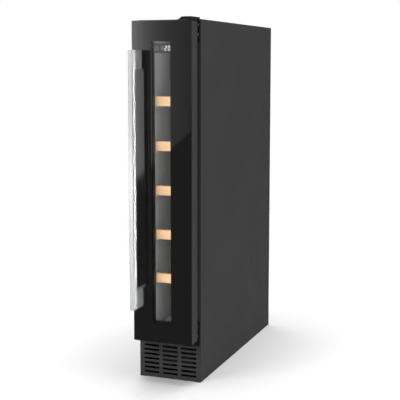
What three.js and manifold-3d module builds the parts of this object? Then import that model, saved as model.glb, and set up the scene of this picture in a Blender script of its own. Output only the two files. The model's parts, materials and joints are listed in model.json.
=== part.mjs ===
// A slim built-in wine cooler, 150 mm wide: insulated steel cabinet, framed glass door on a
// vertical hinge, five wood-fronted wire shelves, and a compressor plant below and behind the
// cellar. Millimetres. X runs to the right, Y from the cabinet's front edge to the back, Z up
// from the floor. The last lines move the whole group so that the origin is under its middle.
import * as THREE from "three";
import { mergeVertices } from "three/addons/utils/BufferGeometryUtils.js";
import Module from "manifold-3d";

const wasm = await Module();
wasm.setup();

// ---------------------------------------------------------------- driving dimensions
// Cabinet
const CABINET_WIDTH = 150;
const CABINET_DEPTH = 530;
const CABINET_HEIGHT = 815;
const SHEET = 1; // steel gauge of casing, pan and panels
const FIT = 0.3; // gap between two pieces that meet
const MOULDED_CORNER = 1; // round on a small moulding's edges
const FLOOR_FLANGE = 14; // width of the casing's turned-in feet
const REAR_RECESS = 2; // how far the back plates sit inside the casing's rear edge

// Cellar, the insulated hollow
const SIDE_WALL = 29; // casing's outer face to the cellar
const CEILING_WALL = 42;
const REAR_WALL = 40;
const CELLAR_FLOOR = 118;
const STEP_TOP = 212; // height of the step over the compressor
const STEP_FOAM = 25; // insulation between the cellar and the machine bay
const LINER = 2; // wall of the plastic liner
const LINER_LIP = 4; // liner's front edge, seen round the opening
const BULKHEAD_SETBACK = 165; // depth of the compressor bay, from the back

// Plinth grille
const PLINTH_TOP = 84;
const PLINTH_BOTTOM = 1.5;
const PLINTH_THICKNESS = 2.5;
const SLOT_COLUMNS = 3;
const SLOT_ROWS = 7;
const SLOT_LENGTH = 37.5;
const SLOT_HEIGHT = 5;
const SLOT_COLUMN_PITCH = 45.5;
const SLOT_ROW_PITCH = 10.5;
const SLOT_FIRST_ROW = 12.2;

// Door
const DOOR_INSET = 5; // door's edge to the cabinet's side
const DOOR_GAP = 6; // door's back to the cabinet's front
const DOOR_THICKNESS = 38;
const DOOR_BOTTOM = 97;
const DOOR_TOP_DROP = 3; // door's top edge below the cabinet's
const GLASS = 4;
const GLASS_CORNER = 2.5;
const FRAME_INSET = 0.5; // frame's edge inside the glass's
const FRAME_STILE = 38; // glass edge to the frame's opening, at the sides
const FRAME_RAIL = 40; // the same at top and bottom
const GLAZING_LIP = 10; // ledge that the inner pane rests against
const INNER_PANE_DEPTH = 16; // outer pane's back to the inner pane's back
const SPACER_WIDTH = 6;
const GASKET_MARGIN = 10; // door's edge to the gasket
const GASKET_WIDTH = 10;
const GASKET_CORNER = 2;
const DISPLAY_WIDTH = 40;
const DISPLAY_HEIGHT = 20;
const DISPLAY_DEPTH = 2.5;
const DISPLAY_DROP = 50; // door's top to the display's top

// Handle
const HANDLE_LENGTH = 570;
const HANDLE_WIDTH = 11;
const HANDLE_DEPTH = 15;
const HANDLE_STANDOFF = 33;
const HANDLE_EDGE = 13; // door's left edge to the bar
const HANDLE_RAISE = 9; // bar's middle above the door's middle
const HANDLE_BEVEL = 0.8;
const POST_HEIGHT = 42;
const HANDLE_SCREW = 2.5; // radius
const HANDLE_SCREW_HEAD = 4.5;
const HANDLE_SCREW_HEAD_HEIGHT = 3;
const HANDLE_SCREW_BITE = 16; // depth of thread in the post

// Hinges
const PIN_EDGE = 10; // door's right edge to the hinge axis
const PIN_RADIUS = 3;
const PIN_BITE = 12; // length of pin inside the door
const PIN_PLAY = 0.15; // running clearance, all round
const PIN_HEAD = 4.5;
const PIN_HEAD_HEIGHT = 1.5;
const BUSH_RADIUS = 6;
const HINGE_PLATE = 2.5; // thickness of the leaf on the cabinet
const HINGE_ARM = 3; // thickness of the arm over or under the door
const HINGE_PLAY = 0.6; // arm to door
const ARM_INSET = 8; // door's front to the end of the arm
const ARM_WIDTH = 22;
const LEAF_WIDTH = 11.5;
const LEAF_EDGE = 2; // leaf to the cabinet's side
const LEAF_LENGTH = 47;
const LEAF_SHOULDER = 8; // height of the leaf's wide end
const RAIL_LAP = 2; // least reach of the lower hinge's foot over the front rail's end
const RIB_REACH = 13;
const RIB_WIDTH = 4;
const HINGE_SCREW = 2;
const HINGE_SCREW_HEAD = 3.8;
const HINGE_SCREW_LENGTH = 6;
const HINGE_SCREW_PITCH = 22;
const HINGE_SCREW_END = 10; // leaf's end to the first screw
const CAP_WIDTH = 32;
const CAP_RAMP = 12;
const CAP_RISE = 4.2; // cap's top above the cabinet's
const CAP_WALL = 2;
const CAP_OVERHANG = 8; // reach over the cabinet's top
const CAP_TOE = 1; // height of the ramp's lower end

// Shelves
const SHELF_COUNT = 5;
const TOP_LANE = 138; // cellar's ceiling to the middle of the first wooden front
const BOTTOM_LANE = 113; // cellar's floor to the middle of the last one
const FASCIA_HEIGHT = 21.5;
const FASCIA_THICKNESS = 12;
const FASCIA_SETBACK = 14; // cabinet's front to the wooden front
const FASCIA_SIDE_GAP = 4.5;
const FASCIA_ROUND = 4;
const WIRE = 2; // radius
const RAIL_WIRE = 2.5; // radius of the two outer wires
const RAIL_SIDE_GAP = 5;
const CRADLE_SPREAD = 36; // distance between the two wires that hold a bottle
const CRADLE_RISE = 5; // cradle wires above the wooden front's lower edge
const WELD = 0.5; // how deep two wires run into each other
const CROSS_WIRES = 6;
const WIRE_OVERHANG = 12; // first cross wire to the end of the long wires
const LEDGE_WIDTH = 7;
const LEDGE_HEIGHT = 4;
const SHELF_REAR_GAP = 6;

// Cooling inside the cellar
const PLENUM = 48; // evaporator cover's back to the liner's rear wall
const COVER_THICKNESS = 2;
const CELLAR_FAN_MARGIN = 13; // fan frame to the cellar's side
const CELLAR_FAN_DROP = 60; // ceiling to the fan's middle
const FAN_DEPTH = 15;
const FAN_RIM = 3; // frame left round the fan's opening
const FAN_SPOKE = 4;
const FAN_STATOR = 3; // depth of the spokes behind the rotor
const FAN_TIP_GAP = 1.6; // blade to frame
const HUB_SHARE = 0.32; // hub's radius to the opening's
const BLADES = 7;
const BLADE = 1.2;
const BLADE_PITCH = 0.6; // radians
const BLADE_ROOT = 1; // how deep a blade runs into the hub
const RETURN_SLOTS = 6;
const RETURN_SLOT_HEIGHT = 5;
const RETURN_SLOT_PITCH = 10;
const EVAPORATOR_HEIGHT = 230;
const EVAPORATOR_DEPTH = 32;
const EVAPORATOR_LIFT = 60; // step to the coil's lower edge
const COIL_SIDE_GAP = 9;
const COIL_TUBE = 2.5;
const COIL_SIDES = 6;
const COIL_STEPS = 9; // steps of the tube for each pass
const EVAPORATOR_FINS = 7;
const EVAPORATOR_PASSES = 5;
const FIN = 0.8;
const LIGHT_WIDTH = 50;
const LIGHT_DEPTH = 12;
const LIGHT_HEIGHT = 3;
const LIGHT_SETBACK = 40;
const PROBE_RADIUS = 3;
const PROBE_LENGTH = 18;
const PROBE_DROP = 200;

// Machine bay
const PAN_HEIGHT = 8; // floor to the base pan's underside
const PAN_SKIRT_LIFT = 1.3;
const CONDENSER_SETBACK = 42;
const CONDENSER_DEPTH = 46;
const CONDENSER_MARGIN = 12; // to the pan's sides
const CONDENSER_FINS = 9;
const CONDENSER_PASSES = 4;
const BAY_CLEARANCE = 3; // coil and fan to the pan and to the bay's ceiling
const BAY_FAN_SETBACK = 98;
const CONTROL_SETBACK = 150;
const CONTROL_LENGTH = 150;
const CONTROL_HEIGHT = 45;
const CONTROL_WIDTH = 90;
const COMPRESSOR_RADIUS = 49;
const COMPRESSOR_HEIGHT = 140;
const COMPRESSOR_DOME = 27; // height of each domed end
const COMPRESSOR_LIFT = 8; // rubber mounts' height
const COMPRESSOR_PLATE_X = 80;
const COMPRESSOR_PLATE_Y = 118;
const COMPRESSOR_PLATE_THICKNESS = 3;
const MOUNT_RADIUS = 8;
const MOUNT_INSET = 10;
const TRAY_HEIGHT = 14;
const TRAY_WALL = 1.5;
const TRAY_MARGIN = 20; // tray to the casing's sides
const TRAY_LENGTH = 130;
const RELAY_WIDTH = 30;
const RELAY_DEPTH = 15;
const RELAY_HEIGHT = 50;
const RELAY_LIFT = 45;
const LOUVRES = 9;
const LOUVRE_LENGTH = 90;
const LOUVRE_HEIGHT = 6;
const LOUVRE_PITCH = 14;
const LOUVRE_FIRST = 50;
const GLAND_RADIUS = 11;
const GLAND_NECK = 7;
const GLAND_BORE = 4;
const GLAND_FLANGE = 1.5;
const GLAND_LENGTH = 12;
const GLAND_SIDE = 45;
const GLAND_HEIGHT = 28;

// Levelling feet
const FOOT_RADIUS = 12;
const FOOT_DISC = 5;
const FOOT_LIFT = 0.6; // wound fully in, the feet clear the floor by this much
const FOOT_STUD = 4;
const FOOT_STUD_LENGTH = 34;
const FOOT_SIDE_GAP = 2; // casing's floor flange to the foot
const FOOT_END = 32; // cabinet's front or back to the foot's middle

// ---------------------------------------------------------------- places worked out from them
const halfWidth = CABINET_WIDTH / 2;
const insideWidth = halfWidth - SHEET - FIT; // for all that stands between the casing's sides
const cellarHalf = halfWidth - SIDE_WALL;
const cellarTop = CABINET_HEIGHT - CEILING_WALL;
const cellarRear = CABINET_DEPTH - REAR_WALL;
const bulkheadY = CABINET_DEPTH - BULKHEAD_SETBACK;
const stepY = bulkheadY - STEP_FOAM - LINER;
const bayTop = CELLAR_FLOOR - LINER - STEP_FOAM;
const compressorBayTop = STEP_TOP - LINER - STEP_FOAM;
const backY = CABINET_DEPTH - REAR_RECESS; // rear face of the back plates
const bayCeiling = bayTop - FIT - SHEET;
const panTop = PAN_HEIGHT + SHEET;

const doorHalf = halfWidth - DOOR_INSET;
const doorTop = CABINET_HEIGHT - DOOR_TOP_DROP;
const doorBack = -DOOR_GAP;
const doorFront = doorBack - DOOR_THICKNESS;
const glassBack = doorFront + GLASS;
const frameFront = glassBack + FIT;
const innerPaneBack = glassBack + INNER_PANE_DEPTH;
const hingeX = doorHalf - PIN_EDGE;
const hingeY = doorBack - DOOR_THICKNESS / 2;
const handleX = -doorHalf + HANDLE_EDGE + HANDLE_WIDTH / 2;
const handleZ = (DOOR_BOTTOM + doorTop) / 2 + HANDLE_RAISE;
const postBack = doorFront - FIT;
const postFront = postBack - HANDLE_STANDOFF;

const shelfPitch = (cellarTop - CELLAR_FLOOR - TOP_LANE - BOTTOM_LANE) / (SHELF_COUNT - 1);
const fasciaBack = FASCIA_SETBACK + FASCIA_THICKNESS;
const coverFront = cellarRear - PLENUM - COVER_THICKNESS;
const coverBack = cellarRear - PLENUM;
const shelfRear = coverFront - SHELF_REAR_GAP;

// ---------------------------------------------------------------- colours and finishes
const FINISH = {
  casing: { color: 0x2b2b2d, roughness: 0.5, metalness: 0.2 },
  blackGlass: { color: 0x08080a, roughness: 0.04, metalness: 0.0 },
  clearGlass: { color: 0x9aa4a2, roughness: 0.03, metalness: 0.0 },
  blackPlastic: { color: 0x18181a, roughness: 0.4, metalness: 0.0 },
  greyPlastic: { color: 0x4a4c4e, roughness: 0.5, metalness: 0.0 },
  whiteFoam: { color: 0xe6dfbf, roughness: 0.9, metalness: 0.0 },
  rubber: { color: 0x101011, roughness: 0.8, metalness: 0.0 },
  chrome: { color: 0xe8e9ea, roughness: 0.08, metalness: 1.0 },
  zinc: { color: 0xb9bcbd, roughness: 0.35, metalness: 0.9 },
  beech: { color: 0xe0b787, roughness: 0.55, metalness: 0.0 },
  blackPaint: { color: 0x131314, roughness: 0.45, metalness: 0.1 },
  aluminium: { color: 0xc4c7ca, roughness: 0.4, metalness: 0.9 },
  lens: { color: 0xf2f6ff, roughness: 0.4, metalness: 0.0 },
};

// ---------------------------------------------------------------- shape tools
const ARC_STEPS = 4; // segments in a quarter round
const SLOT_ARC_STEPS = 2; // the same at a slot's end
const ROUND_SIDES = 24;
const WIRE_SIDES = 8;
const PAST = 5; // how far a cutter runs past what it cuts

// The sweep along each axis: an outline's first and second axes, then the sweep's direction.
const SWEEP = {
  x: [new THREE.Vector3(0, 1, 0), new THREE.Vector3(0, 0, 1), new THREE.Vector3(1, 0, 0)],
  y: [new THREE.Vector3(1, 0, 0), new THREE.Vector3(0, 0, 1), new THREE.Vector3(0, -1, 0)],
  z: [new THREE.Vector3(1, 0, 0), new THREE.Vector3(0, 1, 0), new THREE.Vector3(0, 0, 1)],
};

// A closed geometry as a solid that can be joined and cut.
function solidOf(geometry) {
  const bare = geometry.clone();
  bare.deleteAttribute("normal");
  bare.deleteAttribute("uv");
  const merged = mergeVertices(bare, 1e-4);
  const vertProperties = Float32Array.from(merged.attributes.position.array);
  const triVerts = Uint32Array.from(merged.index.array);
  return new wasm.Manifold(new wasm.Mesh({ numProp: 3, vertProperties, triVerts }));
}

// An outline in two axes, swept along the third from one place to another.
function sweep(axis, shape, from, to, curveSegments = ARC_STEPS) {
  const depth = to - from;
  const geometry = new THREE.ExtrudeGeometry(shape, { depth, bevelEnabled: false, curveSegments });
  const [first, second, along] = SWEEP[axis];
  geometry.applyMatrix4(new THREE.Matrix4().makeBasis(first, second, along));
  const start = axis === "y" ? to : from; // the y sweep runs towards the front
  geometry.translate(axis === "x" ? start : 0, axis === "y" ? start : 0, axis === "z" ? start : 0);
  return solidOf(geometry);
}

function block([x0, x1], [y0, y1], [z0, z1]) {
  const geometry = new THREE.BoxGeometry(x1 - x0, y1 - y0, z1 - z0);
  geometry.translate((x0 + x1) / 2, (y0 + y1) / 2, (z0 + z1) / 2);
  return solidOf(geometry);
}

// A rectangle with round corners; corner 0 leaves it square.
function rectangle([u0, u1], [v0, v1], corner = 0) {
  if (corner === 0) return polygon([[u0, v0], [u1, v0], [u1, v1], [u0, v1]]);
  const shape = new THREE.Shape();
  shape.absarc(u1 - corner, v0 + corner, corner, -Math.PI / 2, 0);
  shape.absarc(u1 - corner, v1 - corner, corner, 0, Math.PI / 2);
  shape.absarc(u0 + corner, v1 - corner, corner, Math.PI / 2, Math.PI);
  shape.absarc(u0 + corner, v0 + corner, corner, Math.PI, 1.5 * Math.PI);
  return shape;
}

function polygon(points) {
  return new THREE.Shape(points.map(([u, v]) => new THREE.Vector2(u, v)));
}

function circle(u, v, radius, sides = ROUND_SIDES) {
  const points = new THREE.EllipseCurve(u, v, radius, radius, 0, 2 * Math.PI).getPoints(sides);
  return new THREE.Shape(points.slice(0, -1));
}

function withHoles(shape, holes) {
  shape.holes.push(...holes);
  return shape;
}

function rod(axis, [u, v], radius, from, to, sides = ROUND_SIDES) {
  return sweep(axis, circle(u, v, radius, sides), from, to);
}

// A body of revolution about a vertical or front-to-back line; points are [radius, place along it].
function turned(axis, points, [x, y, z], sides = ROUND_SIDES) {
  const geometry = new THREE.LatheGeometry(
    points.map(([radius, place]) => new THREE.Vector2(radius, place)),
    sides,
  );
  if (axis === "z") geometry.rotateX(Math.PI / 2);
  geometry.translate(x, y, z);
  return solidOf(geometry);
}

function join(solids) {
  return solids.reduce((whole, solid) => whole.add(solid));
}

function cut(solid, cutters) {
  return cutters.reduce((whole, cutter) => whole.subtract(cutter), solid);
}

// A named mesh of one solid, with a material of its own.
function piece(name, finish, solid) {
  const { vertProperties, triVerts } = solid.getMesh();
  const shared = new THREE.BufferGeometry();
  shared.setAttribute("position", new THREE.BufferAttribute(Float32Array.from(vertProperties), 3));
  shared.setIndex(new THREE.BufferAttribute(Uint32Array.from(triVerts), 1));
  const geometry = shared.toNonIndexed();
  geometry.computeVertexNormals();
  const mesh = new THREE.Mesh(geometry, new THREE.MeshStandardMaterial(finish));
  mesh.name = name;
  return mesh;
}

function groupOf(meshes) {
  const group = new THREE.Group();
  group.add(...meshes);
  return group;
}

// ---------------------------------------------------------------- cabinet
// Middles of the hinge leaves' screws, from the bottom one up.
function hingeScrewHeights() {
  const upper = doorTop - HINGE_SCREW_END;
  const lower = DOOR_BOTTOM + HINGE_SCREW_END;
  return [lower, lower + HINGE_SCREW_PITCH, upper - HINGE_SCREW_PITCH, upper];
}

const leafMiddle = halfWidth - LEAF_EDGE - LEAF_WIDTH / 2;

function hingeScrewHoles() {
  const depth = HINGE_SCREW_LENGTH + FIT;
  return hingeScrewHeights().map((z) =>
    rod("y", [leafMiddle, z], HINGE_SCREW + FIT, -PAST, depth, ROUND_SIDES / 2),
  );
}

// One folded sheet: both sides, the top, the front flanges that the gasket seals on, and the
// turned-in bottom flanges that the cabinet stands on.
function casing() {
  const inner = halfWidth - SHEET;
  const wrap = cut(block([-halfWidth, halfWidth], [0, CABINET_DEPTH], [0, CABINET_HEIGHT]), [
    block([-inner, inner], [-PAST, CABINET_DEPTH + PAST], [-PAST, CABINET_HEIGHT - SHEET]),
  ]);
  const flangeWidth = SIDE_WALL - LINER_LIP;
  const flangeSides = [-1, 1].map((side) => {
    const edges = [side * halfWidth, side * (halfWidth - flangeWidth)].sort((a, b) => a - b);
    return block(edges, [0, SHEET], [PLINTH_TOP + FIT, CABINET_HEIGHT]);
  });
  const flangeTop = block(
    [-halfWidth, halfWidth], [0, SHEET], [cellarTop + LINER_LIP, CABINET_HEIGHT],
  );
  const floorFlanges = [-1, 1].map((side) => {
    const edges = [side * halfWidth, side * (halfWidth - FLOOR_FLANGE)].sort((a, b) => a - b);
    return block(edges, [0, CABINET_DEPTH], [0, SHEET]);
  });
  const folded = join([wrap, ...flangeSides, flangeTop, ...floorFlanges]);
  return piece("casing", FINISH.casing, cut(folded, hingeScrewHoles()));
}

const railHalf = cellarHalf + LINER_LIP - FIT;

// Cross-member between the side flanges, under the cellar's opening.
function frontRail() {
  const low = PLINTH_TOP + FIT;
  const high = CELLAR_FLOOR - LINER_LIP - FIT;
  const face = block([-railHalf, railHalf], [0, SHEET], [low, high]);
  return piece("front_rail", FINISH.casing, face);
}

function rearPanel() {
  const heights = [compressorBayTop - SHEET, CABINET_HEIGHT - SHEET - FIT];
  const plate = block([-insideWidth, insideWidth], [backY - SHEET, backY], heights);
  return piece("rear_panel", FINISH.casing, plate);
}

function slot([u, v], length, height) {
  return rectangle([u - length / 2, u + length / 2], [v - height / 2, v + height / 2], height / 2);
}

// The louvred plate that closes the compressor bay at the back, with the cable's gland hole.
function rearGrille() {
  const low = SHEET + FIT;
  const high = compressorBayTop - SHEET - FIT;
  const outline = rectangle([-insideWidth, insideWidth], [low, high]);
  const louvres = Array.from({ length: LOUVRES }, (_, row) =>
    slot([0, LOUVRE_FIRST + row * LOUVRE_PITCH], LOUVRE_LENGTH, LOUVRE_HEIGHT),
  );
  const glandHole = circle(GLAND_SIDE, GLAND_HEIGHT, GLAND_NECK + FIT);
  const holes = [...louvres, glandHole];
  const plate = sweep("y", withHoles(outline, holes), backY - SHEET, backY, SLOT_ARC_STEPS);
  return piece("rear_grille", FINISH.casing, plate);
}

function mainsGland() {
  const profile = [
    [GLAND_BORE, -GLAND_LENGTH],
    [GLAND_NECK, -GLAND_LENGTH],
    [GLAND_NECK, FIT],
    [GLAND_RADIUS, FIT],
    [GLAND_RADIUS, FIT + GLAND_FLANGE],
    [GLAND_BORE, FIT + GLAND_FLANGE],
    [GLAND_BORE, -GLAND_LENGTH],
  ];
  const bush = turned("y", profile, [GLAND_SIDE, backY, GLAND_HEIGHT]);
  return piece("mains_gland", FINISH.blackPlastic, bush);
}

const footX = halfWidth - FLOOR_FLANGE - FOOT_SIDE_GAP - FOOT_RADIUS;
const footPlaces = [
  ["foot_front_left", -footX, FOOT_END],
  ["foot_front_right", footX, FOOT_END],
  ["foot_rear_left", -footX, CABINET_DEPTH - FOOT_END],
  ["foot_rear_right", footX, CABINET_DEPTH - FOOT_END],
];

// A channel on the casing's floor flanges that carries the machinery and takes the feet's studs.
function basePan() {
  const front = PLINTH_THICKNESS + FIT;
  const rear = backY - SHEET - FIT;
  const inner = insideWidth - SHEET;
  const channel = cut(block([-insideWidth, insideWidth], [front, rear], [PAN_SKIRT_LIFT, panTop]), [
    block([-inner, inner], [front - PAST, rear + PAST], [PAN_SKIRT_LIFT - PAST, PAN_HEIGHT]),
  ]);
  const studHoles = footPlaces.map(([, x, y]) =>
    rod("z", [x, y], FOOT_STUD + FIT, PAN_HEIGHT - PAST, panTop + PAST),
  );
  return piece("base_pan", FINISH.zinc, cut(channel, studHoles));
}

function levellingFoot([name, x, y]) {
  const top = FOOT_LIFT + FOOT_DISC;
  const foot = join([
    rod("z", [x, y], FOOT_RADIUS, FOOT_LIFT, top),
    rod("z", [x, y], FOOT_STUD, top - WELD, FOOT_LIFT + FOOT_STUD_LENGTH, ROUND_SIDES / 2),
  ]);
  return piece(name, FINISH.blackPlastic, foot);
}

function plinthGrille() {
  const outline = rectangle([-insideWidth, insideWidth], [PLINTH_BOTTOM, PLINTH_TOP]);
  const slots = [];
  for (let column = 0; column < SLOT_COLUMNS; column++) {
    const x = (column - (SLOT_COLUMNS - 1) / 2) * SLOT_COLUMN_PITCH;
    for (let row = 0; row < SLOT_ROWS; row++) {
      slots.push(slot([x, SLOT_FIRST_ROW + row * SLOT_ROW_PITCH], SLOT_LENGTH, SLOT_HEIGHT));
    }
  }
  const plate = sweep("y", withHoles(outline, slots), 0, PLINTH_THICKNESS, SLOT_ARC_STEPS);
  return piece("plinth_grille", FINISH.blackPlastic, plate);
}

// ---------------------------------------------------------------- insulated cellar
// Side view of the cellar's hollow, grown outwards by a wall's thickness.
function cellarOutline(wall, front) {
  return polygon([
    [front, CELLAR_FLOOR - wall],
    [stepY + wall, CELLAR_FLOOR - wall],
    [stepY + wall, STEP_TOP - wall],
    [cellarRear + wall, STEP_TOP - wall],
    [cellarRear + wall, cellarTop + wall],
    [front, cellarTop + wall],
  ]);
}

function insulation() {
  const outline = polygon([
    [LINER + FIT, bayTop],
    [bulkheadY, bayTop],
    [bulkheadY, compressorBayTop],
    [backY - SHEET - FIT, compressorBayTop],
    [backY - SHEET - FIT, CABINET_HEIGHT - SHEET - FIT],
    [LINER + FIT, CABINET_HEIGHT - SHEET - FIT],
  ]);
  const hollowHalf = cellarHalf + LINER + FIT;
  const hollow = sweep("x", cellarOutline(LINER + FIT, -PAST), -hollowHalf, hollowHalf);
  const foam = cut(sweep("x", outline, -insideWidth, insideWidth), [hollow, ...hingeScrewHoles()]);
  return piece("insulation", FINISH.whiteFoam, foam);
}

// Sheet under the insulation, stepped over the compressor bay.
function bulkhead() {
  const upper = FIT;
  const lower = FIT + SHEET;
  const front = PLINTH_THICKNESS + FIT;
  const rear = backY - SHEET - FIT;
  const outline = polygon([
    [front, bayTop - lower],
    [bulkheadY + lower, bayTop - lower],
    [bulkheadY + lower, compressorBayTop - lower],
    [rear, compressorBayTop - lower],
    [rear, compressorBayTop - upper],
    [bulkheadY + upper, compressorBayTop - upper],
    [bulkheadY + upper, bayTop - upper],
    [front, bayTop - upper],
  ]);
  return piece("bulkhead", FINISH.zinc, sweep("x", outline, -insideWidth, insideWidth));
}

// Middle height of each wooden front, from the top one down.
const shelfHeights = Array.from(
  { length: SHELF_COUNT },
  (_, index) => cellarTop - TOP_LANE - index * shelfPitch,
);

const crossHeight = CRADLE_RISE - 2 * WIRE + WELD; // cross wires above a front's lower edge

function shelfLedges(middle) {
  const top = middle - FASCIA_HEIGHT / 2 + crossHeight - RAIL_WIRE - FIT;
  return [-1, 1].map((side) => {
    const edges = [side * (cellarHalf + WELD), side * (cellarHalf - LEDGE_WIDTH)].sort((a, b) => a - b);
    return block(edges, [fasciaBack + FIT, shelfRear], [top - LEDGE_HEIGHT, top]);
  });
}

function cellarLiner() {
  const shell = cut(
    sweep("x", cellarOutline(LINER, 0), -cellarHalf - LINER, cellarHalf + LINER),
    [sweep("x", cellarOutline(0, -PAST), -cellarHalf, cellarHalf)],
  );
  const lip = LINER_LIP - FIT;
  const lipOutline = rectangle(
    [-cellarHalf - lip, cellarHalf + lip], [CELLAR_FLOOR - lip, cellarTop + lip],
  );
  const opening = rectangle([-cellarHalf, cellarHalf], [CELLAR_FLOOR, cellarTop]);
  const lipRing = sweep("y", withHoles(lipOutline, [opening]), 0, LINER);
  const ledges = shelfHeights.flatMap(shelfLedges);
  return piece("cellar_liner", FINISH.blackPlastic, join([shell, lipRing, ...ledges]));
}

function shelfFascia(middle, index) {
  const half = cellarHalf - FASCIA_SIDE_GAP;
  const outline = rectangle([-half, half], [FASCIA_SETBACK, fasciaBack], FASCIA_ROUND);
  const bar = sweep("z", outline, middle - FASCIA_HEIGHT / 2, middle + FASCIA_HEIGHT / 2);
  return piece(`shelf_${index + 1}_front`, FINISH.beech, bar);
}

// Welded wires: two outer rails, two that cradle a bottle, and cross wires under them.
function wireRack(low, front, rear) {
  const railX = cellarHalf - RAIL_SIDE_GAP;
  const crossZ = low + crossHeight;
  const rails = [-railX, railX].map((x) => rod("y", [x, crossZ], RAIL_WIRE, front, rear, WIRE_SIDES));
  const cradle = [-CRADLE_SPREAD / 2, CRADLE_SPREAD / 2].map((x) =>
    rod("y", [x, low + CRADLE_RISE], WIRE, front, rear, WIRE_SIDES),
  );
  const spacing = (rear - front - 2 * WIRE_OVERHANG) / (CROSS_WIRES - 1);
  const cross = Array.from({ length: CROSS_WIRES }, (_, index) =>
    rod("x", [front + WIRE_OVERHANG + index * spacing, crossZ], WIRE, -railX, railX, WIRE_SIDES),
  );
  return join([...rails, ...cross, ...cradle]);
}

function shelfRack(middle, index) {
  const rack = wireRack(middle - FASCIA_HEIGHT / 2, fasciaBack + FIT, shelfRear);
  return piece(`shelf_${index + 1}_rack`, FINISH.chrome, rack);
}

function floorRack() {
  const low = CELLAR_FLOOR + FIT + RAIL_WIRE - crossHeight;
  const rack = wireRack(low, FASCIA_SETBACK, stepY - SHELF_REAR_GAP);
  return piece("floor_rack", FINISH.chrome, rack);
}

const cellarFanSize = 2 * (cellarHalf - CELLAR_FAN_MARGIN);
const cellarFanZ = cellarTop - CELLAR_FAN_DROP;

function fanOpening(size) {
  return size / 2 - FAN_RIM;
}

// A square fan frame with a round opening and a cross of spokes that carries the motor.
function fanFrame(name, size, [x, y, z]) {
  const half = size / 2;
  const outline = rectangle([x - half, x + half], [z - half, z + half], FAN_RIM);
  const rear = y + FAN_DEPTH;
  const ring = sweep("y", withHoles(outline, [circle(x, z, fanOpening(size))]), y, rear);
  const reach = half - WELD;
  const spokes = [
    block([x - reach, x + reach], [rear - FAN_STATOR, rear], [z - FAN_SPOKE / 2, z + FAN_SPOKE / 2]),
    block([x - FAN_SPOKE / 2, x + FAN_SPOKE / 2], [rear - FAN_STATOR, rear], [z - reach, z + reach]),
  ];
  const motor = rod("y", [x, z], HUB_SHARE * fanOpening(size), rear - FAN_STATOR, rear);
  return piece(name, FINISH.blackPlastic, join([ring, ...spokes, motor]));
}

// Hub and pitched blades, turning about a front-to-back axis inside the frame's opening.
function fanRotor(name, size, [x, y, z]) {
  const radius = fanOpening(size) - FAN_TIP_GAP;
  const hubRadius = HUB_SHARE * fanOpening(size);
  const depth = FAN_DEPTH - FAN_STATOR - 2 * FIT;
  const chord = (depth - BLADE) / Math.sin(BLADE_PITCH) - 2 * BLADE;
  const tip = Math.sqrt(radius ** 2 - (chord / 2) ** 2);
  const root = hubRadius - BLADE_ROOT;
  const middle = y + FIT + depth / 2;
  const hub = rod("y", [x, z], hubRadius, y + FIT, y + FIT + depth);
  const blades = Array.from({ length: BLADES }, (_, index) => {
    const geometry = new THREE.BoxGeometry(tip - root, BLADE, chord);
    geometry.rotateX(Math.PI / 2 - BLADE_PITCH);
    geometry.rotateX(-Math.PI / 2);
    geometry.translate((tip + root) / 2, 0, 0);
    geometry.rotateY((2 * Math.PI * index) / BLADES);
    geometry.translate(x, middle, z);
    return solidOf(geometry);
  });
  return piece(name, FINISH.greyPlastic, join([hub, ...blades]));
}

// Front of the air duct: the fan blows out at the top, and air returns through slots below.
function evaporatorCover() {
  const half = cellarHalf - FIT;
  const outline = rectangle([-half, half], [STEP_TOP + FIT, cellarTop - FIT]);
  const returns = Array.from({ length: RETURN_SLOTS }, (_, row) =>
    slot([0, STEP_TOP + (row + 2) * RETURN_SLOT_PITCH], cellarHalf, RETURN_SLOT_HEIGHT),
  );
  const plate = sweep("y", withHoles(outline, returns), coverFront, coverBack, SLOT_ARC_STEPS);
  const radius = fanOpening(cellarFanSize);
  const bore = rod("y", [0, cellarFanZ], radius, coverFront - PAST, coverBack + PAST);
  const guard = [
    block([-radius, radius], [coverFront, coverBack], [cellarFanZ - WIRE, cellarFanZ + WIRE]),
    block([-WIRE, WIRE], [coverFront, coverBack], [cellarFanZ - radius, cellarFanZ + radius]),
  ];
  return piece("evaporator_cover", FINISH.blackPlastic, join([cut(plate, [bore]), ...guard]));
}

// Upright fins on one tube that runs to and fro across them.
function finnedCoil(name, [x0, x1], [y0, y1], [z0, z1], [fins, passes]) {
  const bend = 4 * COIL_TUBE;
  const finPitch = (x1 - x0 - 2 * bend - FIN) / (fins - 1);
  const finSolids = Array.from({ length: fins }, (_, index) => {
    const x = x0 + bend + index * finPitch;
    return block([x, x + FIN], [y0, y1], [z0, z1]);
  });
  const y = (y0 + y1) / 2;
  const step = (z1 - z0) / passes;
  const path = new THREE.CurvePath();
  for (let pass = 0; pass < passes; pass++) {
    const z = z0 + (pass + 0.5) * step;
    const [start, end] = pass % 2 ? [x1 - bend, x0 + bend] : [x0 + bend, x1 - bend];
    path.add(new THREE.LineCurve3(new THREE.Vector3(start, y, z), new THREE.Vector3(end, y, z)));
    if (pass === passes - 1) break;
    const reach = Math.sign(end - start) * (bend - COIL_TUBE) * (4 / 3);
    path.add(
      new THREE.CubicBezierCurve3(
        new THREE.Vector3(end, y, z),
        new THREE.Vector3(end + reach, y, z),
        new THREE.Vector3(end + reach, y, z + step),
        new THREE.Vector3(end, y, z + step),
      ),
    );
  }
  const section = circle(0, 0, COIL_TUBE, COIL_SIDES);
  const tube = new THREE.ExtrudeGeometry(section, { extrudePath: path, steps: passes * COIL_STEPS });
  return piece(name, FINISH.aluminium, join([...finSolids, solidOf(tube)]));
}

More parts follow.
